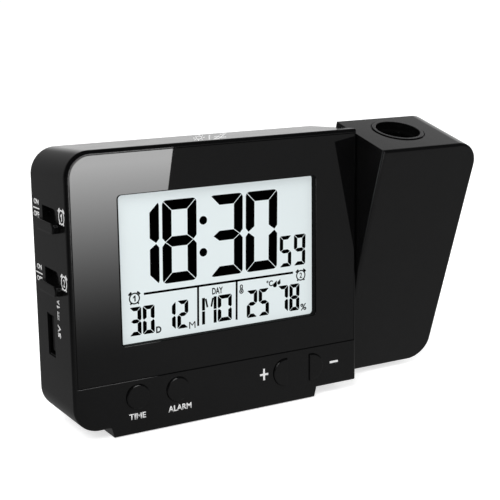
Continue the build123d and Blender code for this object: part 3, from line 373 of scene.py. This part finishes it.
def inset(points, distance):
    """A convex outline drawn in by a distance; it runs anticlockwise."""
    corners = [Vector(point) for point in points]
    count = len(corners)
    drawn = []
    for i, here in enumerate(corners):
        back = (here - corners[i - 1]).normalized()
        ahead = (corners[(i + 1) % count] - here).normalized()
        inward = Vector((-back.y - ahead.y, back.x + ahead.x)).normalized()
        drawn.append(here + inward * distance / inward.dot(Vector((-back.y, back.x))))
    return drawn


def plus(x, y, wide, high, line):
    """A plus sign round its middle, by half its width, height and line."""
    corners = [
        (-wide, -line),
        (-line, -line),
        (-line, -high),
        (line, -high),
        (line, -line),
        (wide, -line),
    ]
    corners += [(-across, -up) for across, up in corners]
    return [(x + across, y + up) for across, up in corners]


LEAN = tan(radians(1.0))


def lean(points, base):
    """Points slanted a little to the right above a base line."""
    return [(x + (y - base) * LEAN, y) for x, y in points]


# ---- printed marks ------------------------------------------------------------------

INK = 0.02
SUNK = 0.01
SAME_POINT = 0.0005
SHARPEST_MITRE = 0.3  # least cosine of half a turn, so that a sharp corner stays short

# the figure 1, a post with a flag, in shares of its box
FIGURE_ONE = (
    (0.45, 0.0),
    (0.9, 0.0),
    (0.9, 1.0),
    (0.55, 1.0),
    (0.0, 0.72),
    (0.0, 0.5),
    (0.45, 0.7),
)


class Marks:
    """Flat marks on a face, in millimetres: across runs right and up runs up."""

    def __init__(self, origin, across, up):
        self.mesh = bmesh.new()
        self.origin = Vector(origin)
        self.across = Vector(across)
        self.up = Vector(up)
        self.out = self.across.cross(self.up).normalized()

    def points(self, line):
        """New points of the mesh along a line."""
        return [self.mesh.verts.new((x, y, 0.0)) for x, y in line]

    def shape(self, outline):
        """One flat outline."""
        self.mesh.faces.new(self.points(outline))

    def band(self, line, width, closed=False):
        """A mitred band of one width along a line of points."""
        points = [Vector(point) for point in line]
        count = len(points)
        sides = []
        for i, here in enumerate(points):
            back = here - points[i - 1] if closed or i else points[1] - here
            ahead = points[(i + 1) % count] - here if closed or i < count - 1 else back
            back, ahead = back.normalized(), ahead.normalized()
            bisector = Vector((-back.y - ahead.y, back.x + ahead.x)).normalized()
            mitre = max(bisector.dot(Vector((-back.y, back.x))), SHARPEST_MITRE)
            reach = width / 2 / mitre
            sides.append(self.points([here + bisector * reach, here - bisector * reach]))
        for i in range(count if closed else count - 1):
            (a, b), (c, d) = sides[i], sides[(i + 1) % count]
            self.mesh.faces.new((a, c, d, b))

    def between(self, line, other):
        """The band between two closed lines that have as many points each."""
        outer, inner = self.points(line), self.points(other)
        for i, vertex in enumerate(outer):
            self.mesh.faces.new((outer[i - 1], vertex, inner[i], inner[i - 1]))

    def words(self, text, left, bottom, right, top, turned=False, bold=0.0):
        """Plain sans lettering fitted to a box, turned to read upwards where asked."""
        curve = bpy.data.curves.new("words", "FONT")
        curve.body = text
        curve.offset = bold
        holder = bpy.data.objects.new("words", curve)
        flat = bpy.data.meshes.new_from_object(holder)
        if turned:
            flat.transform(Matrix.Rotation(pi / 2, 4, "Z"))
        low_x, high_x = (pick(v.co.x for v in flat.vertices) for pick in (min, max))
        low_y, high_y = (pick(v.co.y for v in flat.vertices) for pick in (min, max))
        for vertex in flat.vertices:
            vertex.co.x = left + (vertex.co.x - low_x) / (high_x - low_x) * (right - left)
            vertex.co.y = bottom + (vertex.co.y - low_y) / (high_y - low_y) * (top - bottom)
        self.mesh.from_mesh(flat)
        bpy.data.objects.remove(holder)
        bpy.data.meshes.remove(flat)
        bpy.data.curves.remove(curve)

    def figure_one(self, left, bottom, right, top, turned=False):
        """The figure 1 fitted to a box."""
        post = [(1.0 - y, x) if turned else (x, y) for x, y in FIGURE_ONE]
        self.shape([(left + x * (right - left), bottom + y * (top - bottom)) for x, y in post])

    def done(self, name, finish, height=INK):
        """Raises the marks to a height, and fixes them to the case."""
        bmesh.ops.remove_doubles(self.mesh, verts=self.mesh.verts, dist=SAME_POINT)
        flat = list(self.mesh.faces)
        raised = bmesh.ops.extrude_face_region(self.mesh, geom=flat, use_keep_orig=True)["geom"]
        tops = [item for item in raised if isinstance(item, bmesh.types.BMVert)]
        bmesh.ops.translate(self.mesh, verts=tops, vec=(0.0, 0.0, height + SUNK))
        for vertex in self.mesh.verts:
            x, y, z = vertex.co
            place = self.origin + self.across * x + self.up * y + self.out * (z - SUNK)
            vertex.co = place * MM
        bmesh.ops.recalc_face_normals(self.mesh, faces=self.mesh.faces)
        mesh = bpy.data.meshes.new(name)
        self.mesh.to_mesh(mesh)
        self.mesh.free()
        mesh.materials.append(finish)
        made = bpy.data.objects.new(name, mesh)
        bpy.context.scene.collection.objects.link(made)
        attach(made, "case")


SEGMENTS = {
    "0": "abcdef",
    "1": "bc",
    "2": "abged",
    "3": "abgcd",
    "5": "afgcd",
    "7": "abc",
    "8": "abcdefg",
    "9": "abcdfg",
}

# a segment's cut corners and points, as shares of its width or of each other
CORNER_SHARE, NICK_SHARE = 0.38, 0.3
TIP_SHARE, TIP_DROP = 0.33, 1.2


def segment(letter, w, h, stroke):
    """The outline of one segment in a cell, anticlockwise, with no gap round it."""
    across, high = stroke
    m = h / 2
    corner, tip = across * CORNER_SHARE, across * TIP_SHARE
    nick = corner * NICK_SHARE
    top = [
        (across, h - high),
        (w - across, h - high),
        (w - nick, h - nick),
        (w - corner, h),
        (corner, h),
        (nick, h - nick),
    ]
    side = [
        (w - nick, h - nick),
        (w - across, h - high),
        (w - across, m + high / 2),
        (w - tip, m),
        (w, m + tip * TIP_DROP),
        (w, h - corner),
    ]
    middle = [
        (tip, m),
        (across, m - high / 2),
        (w - across, m - high / 2),
        (w - tip, m),
        (w - across, m + high / 2),
        (across, m + high / 2),
    ]

    def mirrored(points, over_x, over_y):
        """The outline over a cell's middle lines, still anticlockwise."""
        moved = [(w - x if over_x else x, h - y if over_y else y) for x, y in points]
        return moved[::-1] if over_x != over_y else moved

    return {
        "a": top,
        "b": side,
        "c": mirrored(side, False, True),
        "d": mirrored(top, False, True),
        "e": mirrored(side, True, True),
        "f": mirrored(side, True, False),
        "g": middle,
    }[letter]


def number(marks, text, ends, heights, cell, stroke, gap):
    """Seven-segment digits between a left and a right end, and a foot and a head."""
    left, right = ends
    bottom, top = heights
    pitch = (right - left - cell) / max(len(text) - 1, 1)
    for place, digit in enumerate(text):
        start = left + place * pitch
        for letter in SEGMENTS[digit]:
            outline = inset(segment(letter, cell, top - bottom, stroke), gap / 2)
            marks.shape(lean([(start + x, bottom + y) for x, y in outline], bottom))


# an alarm clock's face, as a share of its width; its bells, feet and figure, by angles
# in degrees from the upright, shares of the face's radius and shares of its line
FACE_R = 0.38
BELL_AT, BELL_HALF, BELL_R, BELL_LINE = 42, 17, 1.32, 1.5
FOOT_AT, FOOT_START, FOOT_R, FOOT_LINE = 38, 0.4, 1.38, 1.3
FIGURE_WIDE, FIGURE_TALL, FIGURE_BOLD = 0.3, 0.56, 0.02


def alarm_clock(marks, x, y, width, digit, line):
    """A round clock face with its number, two bells on top and two feet."""
    r = width * FACE_R
    marks.band(circle(x, y, r), line, closed=True)
    for side in (-1, 1):
        bell = 90 - side * BELL_AT
        bell_line = arc(x, y, r * BELL_R, bell - BELL_HALF, bell + BELL_HALF, steps=6)
        marks.band(bell_line, line * BELL_LINE)
        foot = radians(270 + side * FOOT_AT)
        reaches = (r + line * FOOT_START, r * FOOT_R)
        foot_line = [(x + reach * cos(foot), y + reach * sin(foot)) for reach in reaches]
        marks.band(foot_line, line * FOOT_LINE)
    half_wide, half_tall = r * FIGURE_WIDE, r * FIGURE_TALL
    room = (x - half_wide, y - half_tall, x + half_wide, y + half_tall)
    if digit == "1":
        marks.figure_one(*room)
    else:
        marks.words(digit, *room, bold=FIGURE_BOLD)


# ---- display ------------------------------------------------------------------------

# laid out on a drawing a little larger than life, which runs slightly down to the right
GLASS_FRONT = -12.25
DRAWN, DRAWN_DOWN = 0.9963, 0.004
lcd = Marks((-0.67, GLASS_FRONT, 0.51), (DRAWN, 0, -DRAWN_DOWN), (0, 0, DRAWN))

# the time: digits with their ends and the width of one, and the colon's two dots
BIG, BIG_STROKE, BIG_GAP = (46.72, 73.85), (3.5, 3.5), 0.22
for text, ends, cell in (
    ("1", (-30.8, -18.55), 12.25),
    ("8", (-17.65, -5.2), 12.45),
    ("30", (-0.45, 25.1), 12.3),
):
    number(lcd, text, ends, BIG, cell, BIG_STROKE, BIG_GAP)
COLON_R = 1.4
for dot in ((-2.53, 66.0), (-2.73, 55.5)):
    lcd.shape(circle(*dot, COLON_R))

# the lines that part the lower row
RULE = 0.75
RULE_Z, RULE_LEFT, RULE_RIGHT = 44.52, -24.3, 31.4
DIVIDERS, DIVIDER_END = (-5.05, 9.35), 31.2
FOOT_LEFT, HEAD_RIGHT = 0.15, 0.1
lcd.band([(RULE_LEFT, RULE_Z), (RULE_RIGHT, RULE_Z)], RULE)
for divider in DIVIDERS:
    foot, head = (divider - FOOT_LEFT, DIVIDER_END), (divider + HEAD_RIGHT, RULE_Z - RULE / 2)
    lcd.band([foot, head], RULE)

# seconds, day, month, temperature and humidity, as the time above with heights
SMALL_STROKE, SMALL_GAP = (1.5, 1.45), 0.16
DATE, CLIMATE = (31.2, 40.7), (31.1, 40.6)
for text, ends, heights, cell in (
    ("59", (26.0, 36.35), (46.8, 57.6), 4.75),
    ("30", (-29.75, -20.8), DATE, 4.3),
    ("12", (-17.42, -8.7), DATE, 4.15),
    ("25", (13.0, 21.8), CLIMATE, 4.2),
    ("78", (25.15, 33.9), CLIMATE, 4.2),
):
    number(lcd, text, ends, heights, cell, SMALL_STROKE, SMALL_GAP)

# icons of both alarms, and words with their boxes and how bold they are
LCD_CLOCK_LINE = 0.42
alarm_clock(lcd, -27.6, 43.45, 4.5, "1", LCD_CLOCK_LINE)
alarm_clock(lcd, 34.5, 43.2, 4.4, "2", LCD_CLOCK_LINE)
for text, box, bold in (
    ("D", (-20.4, 31.0, -18.5, 33.2), 0.04),
    ("M", (-8.5, 30.7, -6.2, 33.0), 0.0),
    ("DAY", (0.2, 41.0, 4.2, 43.2), 0.03),
    ("°C", (20.9, 40.9, 23.4, 43.0), 0.03),
    ("%", (34.3, 30.8, 36.7, 33.2), 0.02),
):
    lcd.words(text, *box, bold=bold)

# the weekday: an M of two posts in two halves, with short diagonals, and an O
WEEKDAY = (31.4, 40.5)
DAY_LOW, DAY_HIGH = WEEKDAY
DAY_MIDDLE = (DAY_LOW + DAY_HIGH) / 2
POST_LINE, POST_GAP, POST_DROP = 1.1, 0.15, 0.2
DIAGONAL_LINE, DIAGONAL_DROP, DIAGONAL_END = 0.62, 0.6, 37.0
for post, head_x, foot_x in ((-3.2, -2.35, -1.75), (1.1, 0.3, -0.3)):
    halves = (DAY_LOW, DAY_MIDDLE - POST_GAP), (DAY_MIDDLE + POST_GAP, DAY_HIGH - POST_DROP)
    for low, high in halves:
        lcd.band(lean([(post, low), (post, high)], DAY_LOW), POST_LINE)
    diagonal = [(head_x, DAY_HIGH - DIAGONAL_DROP), (foot_x, DIAGONAL_END)]
    lcd.band(lean(diagonal, DAY_LOW), DIAGONAL_LINE)
number(lcd, "0", (2.0, 7.45), WEEKDAY, 5.45, SMALL_STROKE, SMALL_GAP)

# the two small points inside the O
POINT_LEFT, POINT_MIDDLE, POINT_RIGHT = 4.5, 4.85, 5.2
POINT_IN, POINT_TALL = 1.0, 0.45
for edge, way in ((DAY_LOW + POINT_IN, 1), (DAY_HIGH - POINT_IN, -1)):
    point = [(POINT_LEFT, edge), (POINT_RIGHT, edge), (POINT_MIDDLE, edge + way * POINT_TALL)]
    lcd.shape(lean(point[::way], DAY_LOW))

# a thermometer with its filling, and two drops
THERMO_X, THERMO_LINE = 11.2, 0.34
BULB_Z, BULB_R, BULB_FILL = 40.65, 0.65, 0.32
STEM_Z, STEM_R, STEM_FILL = 42.45, 0.38, 0.2
FILL_LOW, FILL_HIGH = 40.9, 42.0
bulb = arc(THERMO_X, BULB_Z, BULB_R, 120, 420, steps=14)
stem = arc(THERMO_X, STEM_Z, STEM_R, 0, 180, steps=8)
lcd.band(bulb + stem, THERMO_LINE, closed=True)
lcd.shape(circle(THERMO_X, BULB_Z, BULB_FILL, steps=12))
lcd.band([(THERMO_X, FILL_LOW), (THERMO_X, FILL_HIGH)], STEM_FILL)
TIP_RIGHT, TIP_UP = 0.9, 1.9
for drop_x, drop_z, size in ((24.2, 41.1, 0.8), (25.75, 41.7, 0.65)):
    tip = (drop_x + size * TIP_RIGHT, drop_z + size * TIP_UP)
    lcd.shape(arc(drop_x, drop_z, size, 110, 380, steps=14) + [tip])
lcd.done("display_segments", lcd_ink)

# matt lining on the walls of the window, in front of the glass
WINDOW_MIDDLE = (2.25, GLASS_FRONT, 53.45)
HALF_WIDE, HALF_TALL, WINDOW_ROUND = 36.13, 24.03, 1.2
LINED_SIDES, LINED_ENDS, LINED_DEPTH = 0.28, 0.03, 2.2
window = Marks(WINDOW_MIDDLE, (1, 0, 0), (0, 0, 1))
wall_line = []
for start, side_x, side_z in ((0, 1, 1), (90, -1, 1), (180, -1, -1), (270, 1, -1)):
    turn_x, turn_z = side_x * (HALF_WIDE - WINDOW_ROUND), side_z * (HALF_TALL - WINDOW_ROUND)
    wall_line += arc(turn_x, turn_z, WINDOW_ROUND, start, start + 90, steps=8)
shrink_x, shrink_z = 1 - LINED_SIDES / HALF_WIDE, 1 - LINED_ENDS / HALF_TALL
window.between(wall_line, [(x * shrink_x, z * shrink_z) for x, z in wall_line])
window.done("window_lining", lining, height=LINED_DEPTH)

# ---- legends ------------------------------------------------------------------------

# on the button strip
FRONT = -14.5
LEGEND_BOLD = 0.025
legends = Marks((0, FRONT, 0), (1, 0, 0), (0, 0, 1))
for text, box in (("TIME", (-32.3, 5.0, -26.5, 6.95)), ("ALARM", (-18.5, 5.1, -10.1, 7.1))):
    legends.words(text, *box, bold=LEGEND_BOLD)
PLUS_X, PLUS_Z, PLUS_WIDE, PLUS_HIGH, PLUS_LINE = 17.5, 11.65, 1.6, 2.0, 0.34
MINUS_LEFT, MINUS_RIGHT, MINUS_Z, MINUS_LINE = 44.0, 47.4, 11.5, 0.75
legends.shape(plus(PLUS_X, PLUS_Z, PLUS_WIDE, PLUS_HIGH, PLUS_LINE))
legends.band([(MINUS_LEFT, MINUS_Z), (MINUS_RIGHT, MINUS_Z)], MINUS_LINE)
legends.done("strip_legends", white_ink)

# beside the alarm switches: the heights of ON, the rule and OFF, and the icon's middle;
# on this side across runs towards the reader
LEFT = -50.7
side = Marks((LEFT, 0, 0), (0, -1, 0), (0, 0, 1))
SWITCH_BOLD, SWITCH_RULE = 0.03, 0.42
ON_LEFT, ON_RIGHT = -12.4, -8.3
OFF_LEFT, OFF_RIGHT = -12.9, -8.1
BETWEEN_LEFT, BETWEEN_RIGHT = -13.3, -7.8
CLOCK_WIDTH, CLOCK_LINE = 5.6, 0.46
for digit, on, rule, off, clock_at in (
    ("1", (72.95, 74.7), 71.75, (69.0, 70.7), (10.8, 71.9)),
    ("2", (51.85, 53.6), 50.7, (48.0, 49.6), (10.6, 51.4)),
):
    side.words("ON", ON_LEFT, on[0], ON_RIGHT, on[1], bold=SWITCH_BOLD)
    side.band([(BETWEEN_LEFT, rule), (BETWEEN_RIGHT, rule)], SWITCH_RULE)
    side.words("OFF", OFF_LEFT, off[0], OFF_RIGHT, off[1], bold=SWITCH_BOLD)
    alarm_clock(side, *clock_at, CLOCK_WIDTH, digit, CLOCK_LINE)

# beside the charging socket, to be read upwards: 5V, the direct current sign and 1A
SUPPLY_LEFT, SUPPLY_RIGHT = 3.6, 5.9
VOLTS_LOW, VOLTS_HIGH = 32.7, 37.0
SIGN_LINE, SIGN_LOW, SIGN_HIGH = 0.34, 38.5, 41.2
SOLID_AT, DASHED_AT, DASH, DASHES, DASH_PITCH = 4.1, 5.0, 0.65, 3, 1.0
ONE_LOW, ONE_HIGH = 42.2, 43.1
AMPS_LOW, AMPS_HIGH = 43.5, 45.1
volts = (SUPPLY_LEFT, VOLTS_LOW, SUPPLY_RIGHT, VOLTS_HIGH)
amps = (SUPPLY_LEFT, AMPS_LOW, SUPPLY_RIGHT, AMPS_HIGH)
side.words("5V", *volts, turned=True, bold=LEGEND_BOLD)
side.band([(SOLID_AT, SIGN_LOW), (SOLID_AT, SIGN_HIGH)], SIGN_LINE)
for count in range(DASHES):
    dash = SIGN_LOW + count * DASH_PITCH
    side.band([(DASHED_AT, dash), (DASHED_AT, dash + DASH)], SIGN_LINE)
side.figure_one(SUPPLY_LEFT, ONE_LOW, SUPPLY_RIGHT, ONE_HIGH, turned=True)
side.words("A", *amps, turned=True, bold=LEGEND_BOLD)
side.done("side_legends", white_ink)

# marks of the touch key on the sloping top, slanted and drawn out towards the back so
# that they read from in front: a bar, a lamp with rays to its left, and two Z to its right
TOP_EDGE = 92.1
TOP_SLOPE = radians(3.5)
TOUCH_LEAN, TOUCH_STRETCH = 0.536, 11.0
away = Vector((TOUCH_LEAN, cos(TOP_SLOPE), -sin(TOP_SLOPE))) * TOUCH_STRETCH
touch = Marks((-1.6, FRONT, TOP_EDGE), (1, 0, 0), away)
BAR_LOW, BAR_HIGH, BAR_LINE = 0.3, 2.05, 0.55
touch.band([(0.0, BAR_LOW), (0.0, BAR_HIGH)], BAR_LINE)
LAMP_X, LAMP_Y, LAMP_WIDE, LAMP_TALL, LAMP_LINE = -3.9, 1.32, 1.05, 0.6, 0.32
RAYS, RAY_START, RAY_END, RAY_LINE = 8, 1.45, 2.0, 0.36
oval = [(LAMP_X + LAMP_WIDE * x, LAMP_Y + LAMP_TALL * y) for x, y in circle(0, 0, 1)]
touch.band(oval, LAMP_LINE, closed=True)
for ray in range(RAYS):
    turn = radians(360 / RAYS * ray)
    ray_x, ray_y = LAMP_WIDE * cos(turn), LAMP_TALL * sin(turn)
    ends = [(LAMP_X + ray_x * share, LAMP_Y + ray_y * share) for share in (RAY_START, RAY_END)]
    touch.band(ends, RAY_LINE)
ZED_LINE = 0.34
for left, right, low, high in ((1.8, 3.7, 0.35, 1.3), (3.9, 6.1, 0.75, 2.05)):
    touch.band([(left, high), (right, high), (left, low), (right, low)], ZED_LINE)
touch.done("touch_marks", white_ink)

# ---- studio -------------------------------------------------------------------------


def plain_mesh(name, points, faces):
    """A mesh object from its points and faces."""
    mesh = bpy.data.meshes.new(name)
    mesh.from_pydata(points, [], faces)
    made = bpy.data.objects.new(name, mesh)
    bpy.context.scene.collection.objects.link(made)
    return made


def emptied(name):
    """A new material with nothing but its output: the material, tree and output."""
    made = bpy.data.materials.new(name)
    made.use_nodes = True
    tree = made.node_tree
    tree.nodes.clear()
    return made, tree, put(tree, "OutputMaterial")


def is_reflected(tree, rays):
    """1 for a ray that a surface mirrors or lets through, and 0 for others."""
    return calc(tree, "MAXIMUM", rays["Is Glossy Ray"], rays["Is Transmission Ray"])


FLOOR_RADIUS, FLOOR_SIDES = 30.0, 96
FLOOR_DROP = 0.0002
FLOOR_SEEN, FLOOR_LIGHTING = grey(0.8), grey(0.5)
FLOOR_LIFT = 0.66

# how bright reflections see the floor: two levels, and the places in metres between
# which one turns into the other
RIGHTWARDS = (0.04, 0.24, -0.2, 0.02)
BACKWARDS = (0.0, 0.15, -0.12, 0.05)
FAR_BEHIND = (0.0, 0.45, 1.0, 3.0)
FAR_RIGHT = (0.0, 1.0, 0.0, 1.5)


def floor_finish():
    """A floor that is nearly white to the camera, and grey where it lights the clock.

    Reflections see it dark at the front left, and lit behind and to the right.
    """
    made, tree, output = emptied("floor_finish")
    rays = put(tree, "LightPath").outputs
    place = put(tree, "TexCoord").outputs["Object"]
    paper = noise(tree, place, 4.0, 4.0)
    seen = mixed(tree, rays["Is Camera Ray"], FLOOR_LIGHTING, FLOOR_SEEN)
    reflected = is_reflected(tree, rays)
    tone = mixed(tree, reflected, seen, grey(0.0))
    matt = put(tree, "BsdfDiffuse", {"Color": tone, "Normal": bumped(tree, paper, 0.01)})
    spot = split(tree, place)
    rightwards = ranged(tree, spot["X"], *RIGHTWARDS)
    backwards = ranged(tree, spot["Y"], *BACKWARDS)
    far_behind = ranged(tree, spot["Y"], *FAR_BEHIND)
    far_right = ranged(tree, spot["X"], *FAR_RIGHT)
    near = calc(tree, "MAXIMUM", rightwards, backwards)
    far = calc(tree, "MULTIPLY", far_behind, far_right)
    shown = calc(tree, "MULTIPLY", reflected, calc(tree, "ADD", near, far))
    lift = calc(tree, "MULTIPLY", rays["Is Camera Ray"], FLOOR_LIFT)
    glow = put(tree, "Emission", {"Strength": calc(tree, "ADD", lift, shown)})
    both = put(tree, "AddShader", {0: matt.outputs[0], 1: glow.outputs[0]})
    tree.links.new(both.outputs[0], output.inputs["Surface"])
    return made


floor = plain_mesh(
    "floor",
    [(x, y, -FLOOR_DROP) for x, y in circle(0, 0, FLOOR_RADIUS, FLOOR_SIDES)],
    [range(FLOOR_SIDES)],
)
floor.data.materials.append(floor_finish())

WORLD_LEVEL, WORLD_SEEN = 0.5, 1.0

# how bright reflections see the world: two levels, and the shares of a direction that
# lie along an axis, between which one turns into the other
LEFT_PART = (0.15, 0.25, -0.4, 0.1)
RIGHT_PART = (0.0, 0.63, 0.15, 0.35)
LOW_DOWN = (1.0, 0.32, 0.34, 0.52)
BEHIND = (0.04, 1.0, 0.1, 0.5)


def studio_world():
    """A world that is white to the camera and lights the clock evenly.

    In reflections it is a wall of light behind the clock, brightest low down and to the
    right, and dark in front.
    """
    made = bpy.data.worlds.new("studio")
    made.use_nodes = True
    tree = made.node_tree
    tree.nodes.clear()
    rays = put(tree, "LightPath").outputs
    way = split(tree, put(tree, "TexCoord").outputs["Generated"])
    left_part = ranged(tree, way["X"], *LEFT_PART)
    right_part = ranged(tree, way["X"], *RIGHT_PART)
    low_down = ranged(tree, way["Z"], *LOW_DOWN)
    behind = ranged(tree, way["Y"], *BEHIND)
    both_parts = calc(tree, "ADD", left_part, right_part)
    room = calc(tree, "MULTIPLY", both_parts, calc(tree, "MULTIPLY", low_down, behind))

    def white(strength):
        """A white light from all round."""
        return put(tree, "Background", {"Color": grey(1.0), "Strength": strength}).outputs[0]

    lights = {0: is_reflected(tree, rays), 1: white(WORLD_LEVEL), 2: white(room)}
    others = put(tree, "MixShader", lights).outputs[0]
    views = {0: rays["Is Camera Ray"], 1: others, 2: white(WORLD_SEEN)}
    seen = put(tree, "MixShader", views).outputs[0]
    tree.links.new(seen, put(tree, "OutputWorld").inputs["Surface"])
    return made


bpy.context.scene.world = studio_world()

CENTRE = Vector((0.02, 0.0, 0.05))
SOFT_BOX = 1.4


def soft_box(name, place, level):
    """A square lamp whose light on a facing surface has a level beside the world's."""
    lamp = bpy.data.lights.new(name, "AREA")
    lamp.size = SOFT_BOX
    ahead = Vector(place) - CENTRE
    lamp.energy = level * (pi * ahead.length) ** 2
    made = bpy.data.objects.new(name, lamp)
    made.location = place
    made.rotation_euler = ahead.to_track_quat("Z", "Y").to_euler()
    made.visible_camera = False
    made.visible_glossy = False
    bpy.context.scene.collection.objects.link(made)


soft_box("key", (-1.3, -1.2, 1.7), 0.7)
soft_box("fill", (1.6, -1.0, 1.1), 0.25)

# a card that the gloss panel mirrors, bright at its top and clear at its foot; it is
# laid out by the points of the panel in which it is to be seen
CAMERA = Vector((-0.18254, -0.3525, 0.13885))
PANEL_Y, CARD_Y = -0.01445, -0.060
MIRRORED_CAMERA = Vector((CAMERA.x, 2 * PANEL_Y - CAMERA.y, CAMERA.z))
REACH = (CARD_Y - MIRRORED_CAMERA.y) / (PANEL_Y - MIRRORED_CAMERA.y)
CARD_LEVEL, CARD_FADE = 9.9, 2.25
CARD_LEFT, CARD_TOP, CARD_CORNER, CARD_FOOT = -49.35, 90.75, 7.0, 20.0
CARD_RIGHT_FOOT, CARD_RIGHT_TOP = -26.0, -14.4
FADE_LOW, FADE_HIGH = 25.0, 87.4


def on_card(x, z):
    """The point of the card mirrored at a point of the panel, given in millimetres."""
    return MIRRORED_CAMERA + (Vector((x * MM, PANEL_Y, z * MM)) - MIRRORED_CAMERA) * REACH


def card_finish():
    """Light that grows from the card's foot to its top, on nothing that can be seen."""
    made, tree, output = emptied("card_finish")
    height = split(tree, put(tree, "TexCoord").outputs["Object"])["Z"]
    rise = ranged(tree, height, 0.0, 1.0, on_card(0, FADE_LOW).z, on_card(0, FADE_HIGH).z)
    fade = calc(tree, "MULTIPLY", calc(tree, "POWER", rise, CARD_FADE), CARD_LEVEL)
    glow = put(tree, "Emission", {"Strength": fade})
    open_air = put(tree, "BsdfTransparent")
    both = put(tree, "AddShader", {0: glow.outputs[0], 1: open_air.outputs[0]})
    tree.links.new(both.outputs[0], output.inputs["Surface"])
    return made


card_line = arc(CARD_LEFT + CARD_CORNER, CARD_TOP - CARD_CORNER, CARD_CORNER, 90, 180, 12)
card_line += [(CARD_LEFT, CARD_FOOT), (CARD_RIGHT_FOOT, CARD_FOOT), (CARD_RIGHT_TOP, CARD_TOP)]
card = plain_mesh("mirror_card", [on_card(x, z) for x, z in card_line], [range(len(card_line))])
card.data.materials.append(card_finish())
for ray in ("camera", "diffuse", "transmission", "shadow", "volume_scatter"):
    setattr(card, "visible_" + ray, False)

# ---- camera -------------------------------------------------------------------------

AZIMUTH, PITCH, ROLL = radians(30.007), radians(12.115), radians(-0.734)
SENSOR = 36.0
FOCAL_SHARE = 2.4423  # focal length over the picture's width
NEAREST = 0.01
eye = bpy.data.cameras.new("camera")
eye.sensor_width = SENSOR
eye.lens = SENSOR * FOCAL_SHARE
eye.clip_start = NEAREST
camera = bpy.data.objects.new("camera", eye)
camera.matrix_world = (
    Matrix.Translation(CAMERA)
    @ Matrix.Rotation(-AZIMUTH, 4, "Z")
    @ Matrix.Rotation(pi / 2 - PITCH, 4, "X")
    @ Matrix.Rotation(ROLL, 4, "Z")
)
bpy.context.scene.collection.objects.link(camera)
bpy.context.scene.camera = camera
bpy.context.scene.view_settings.view_transform = "Standard"
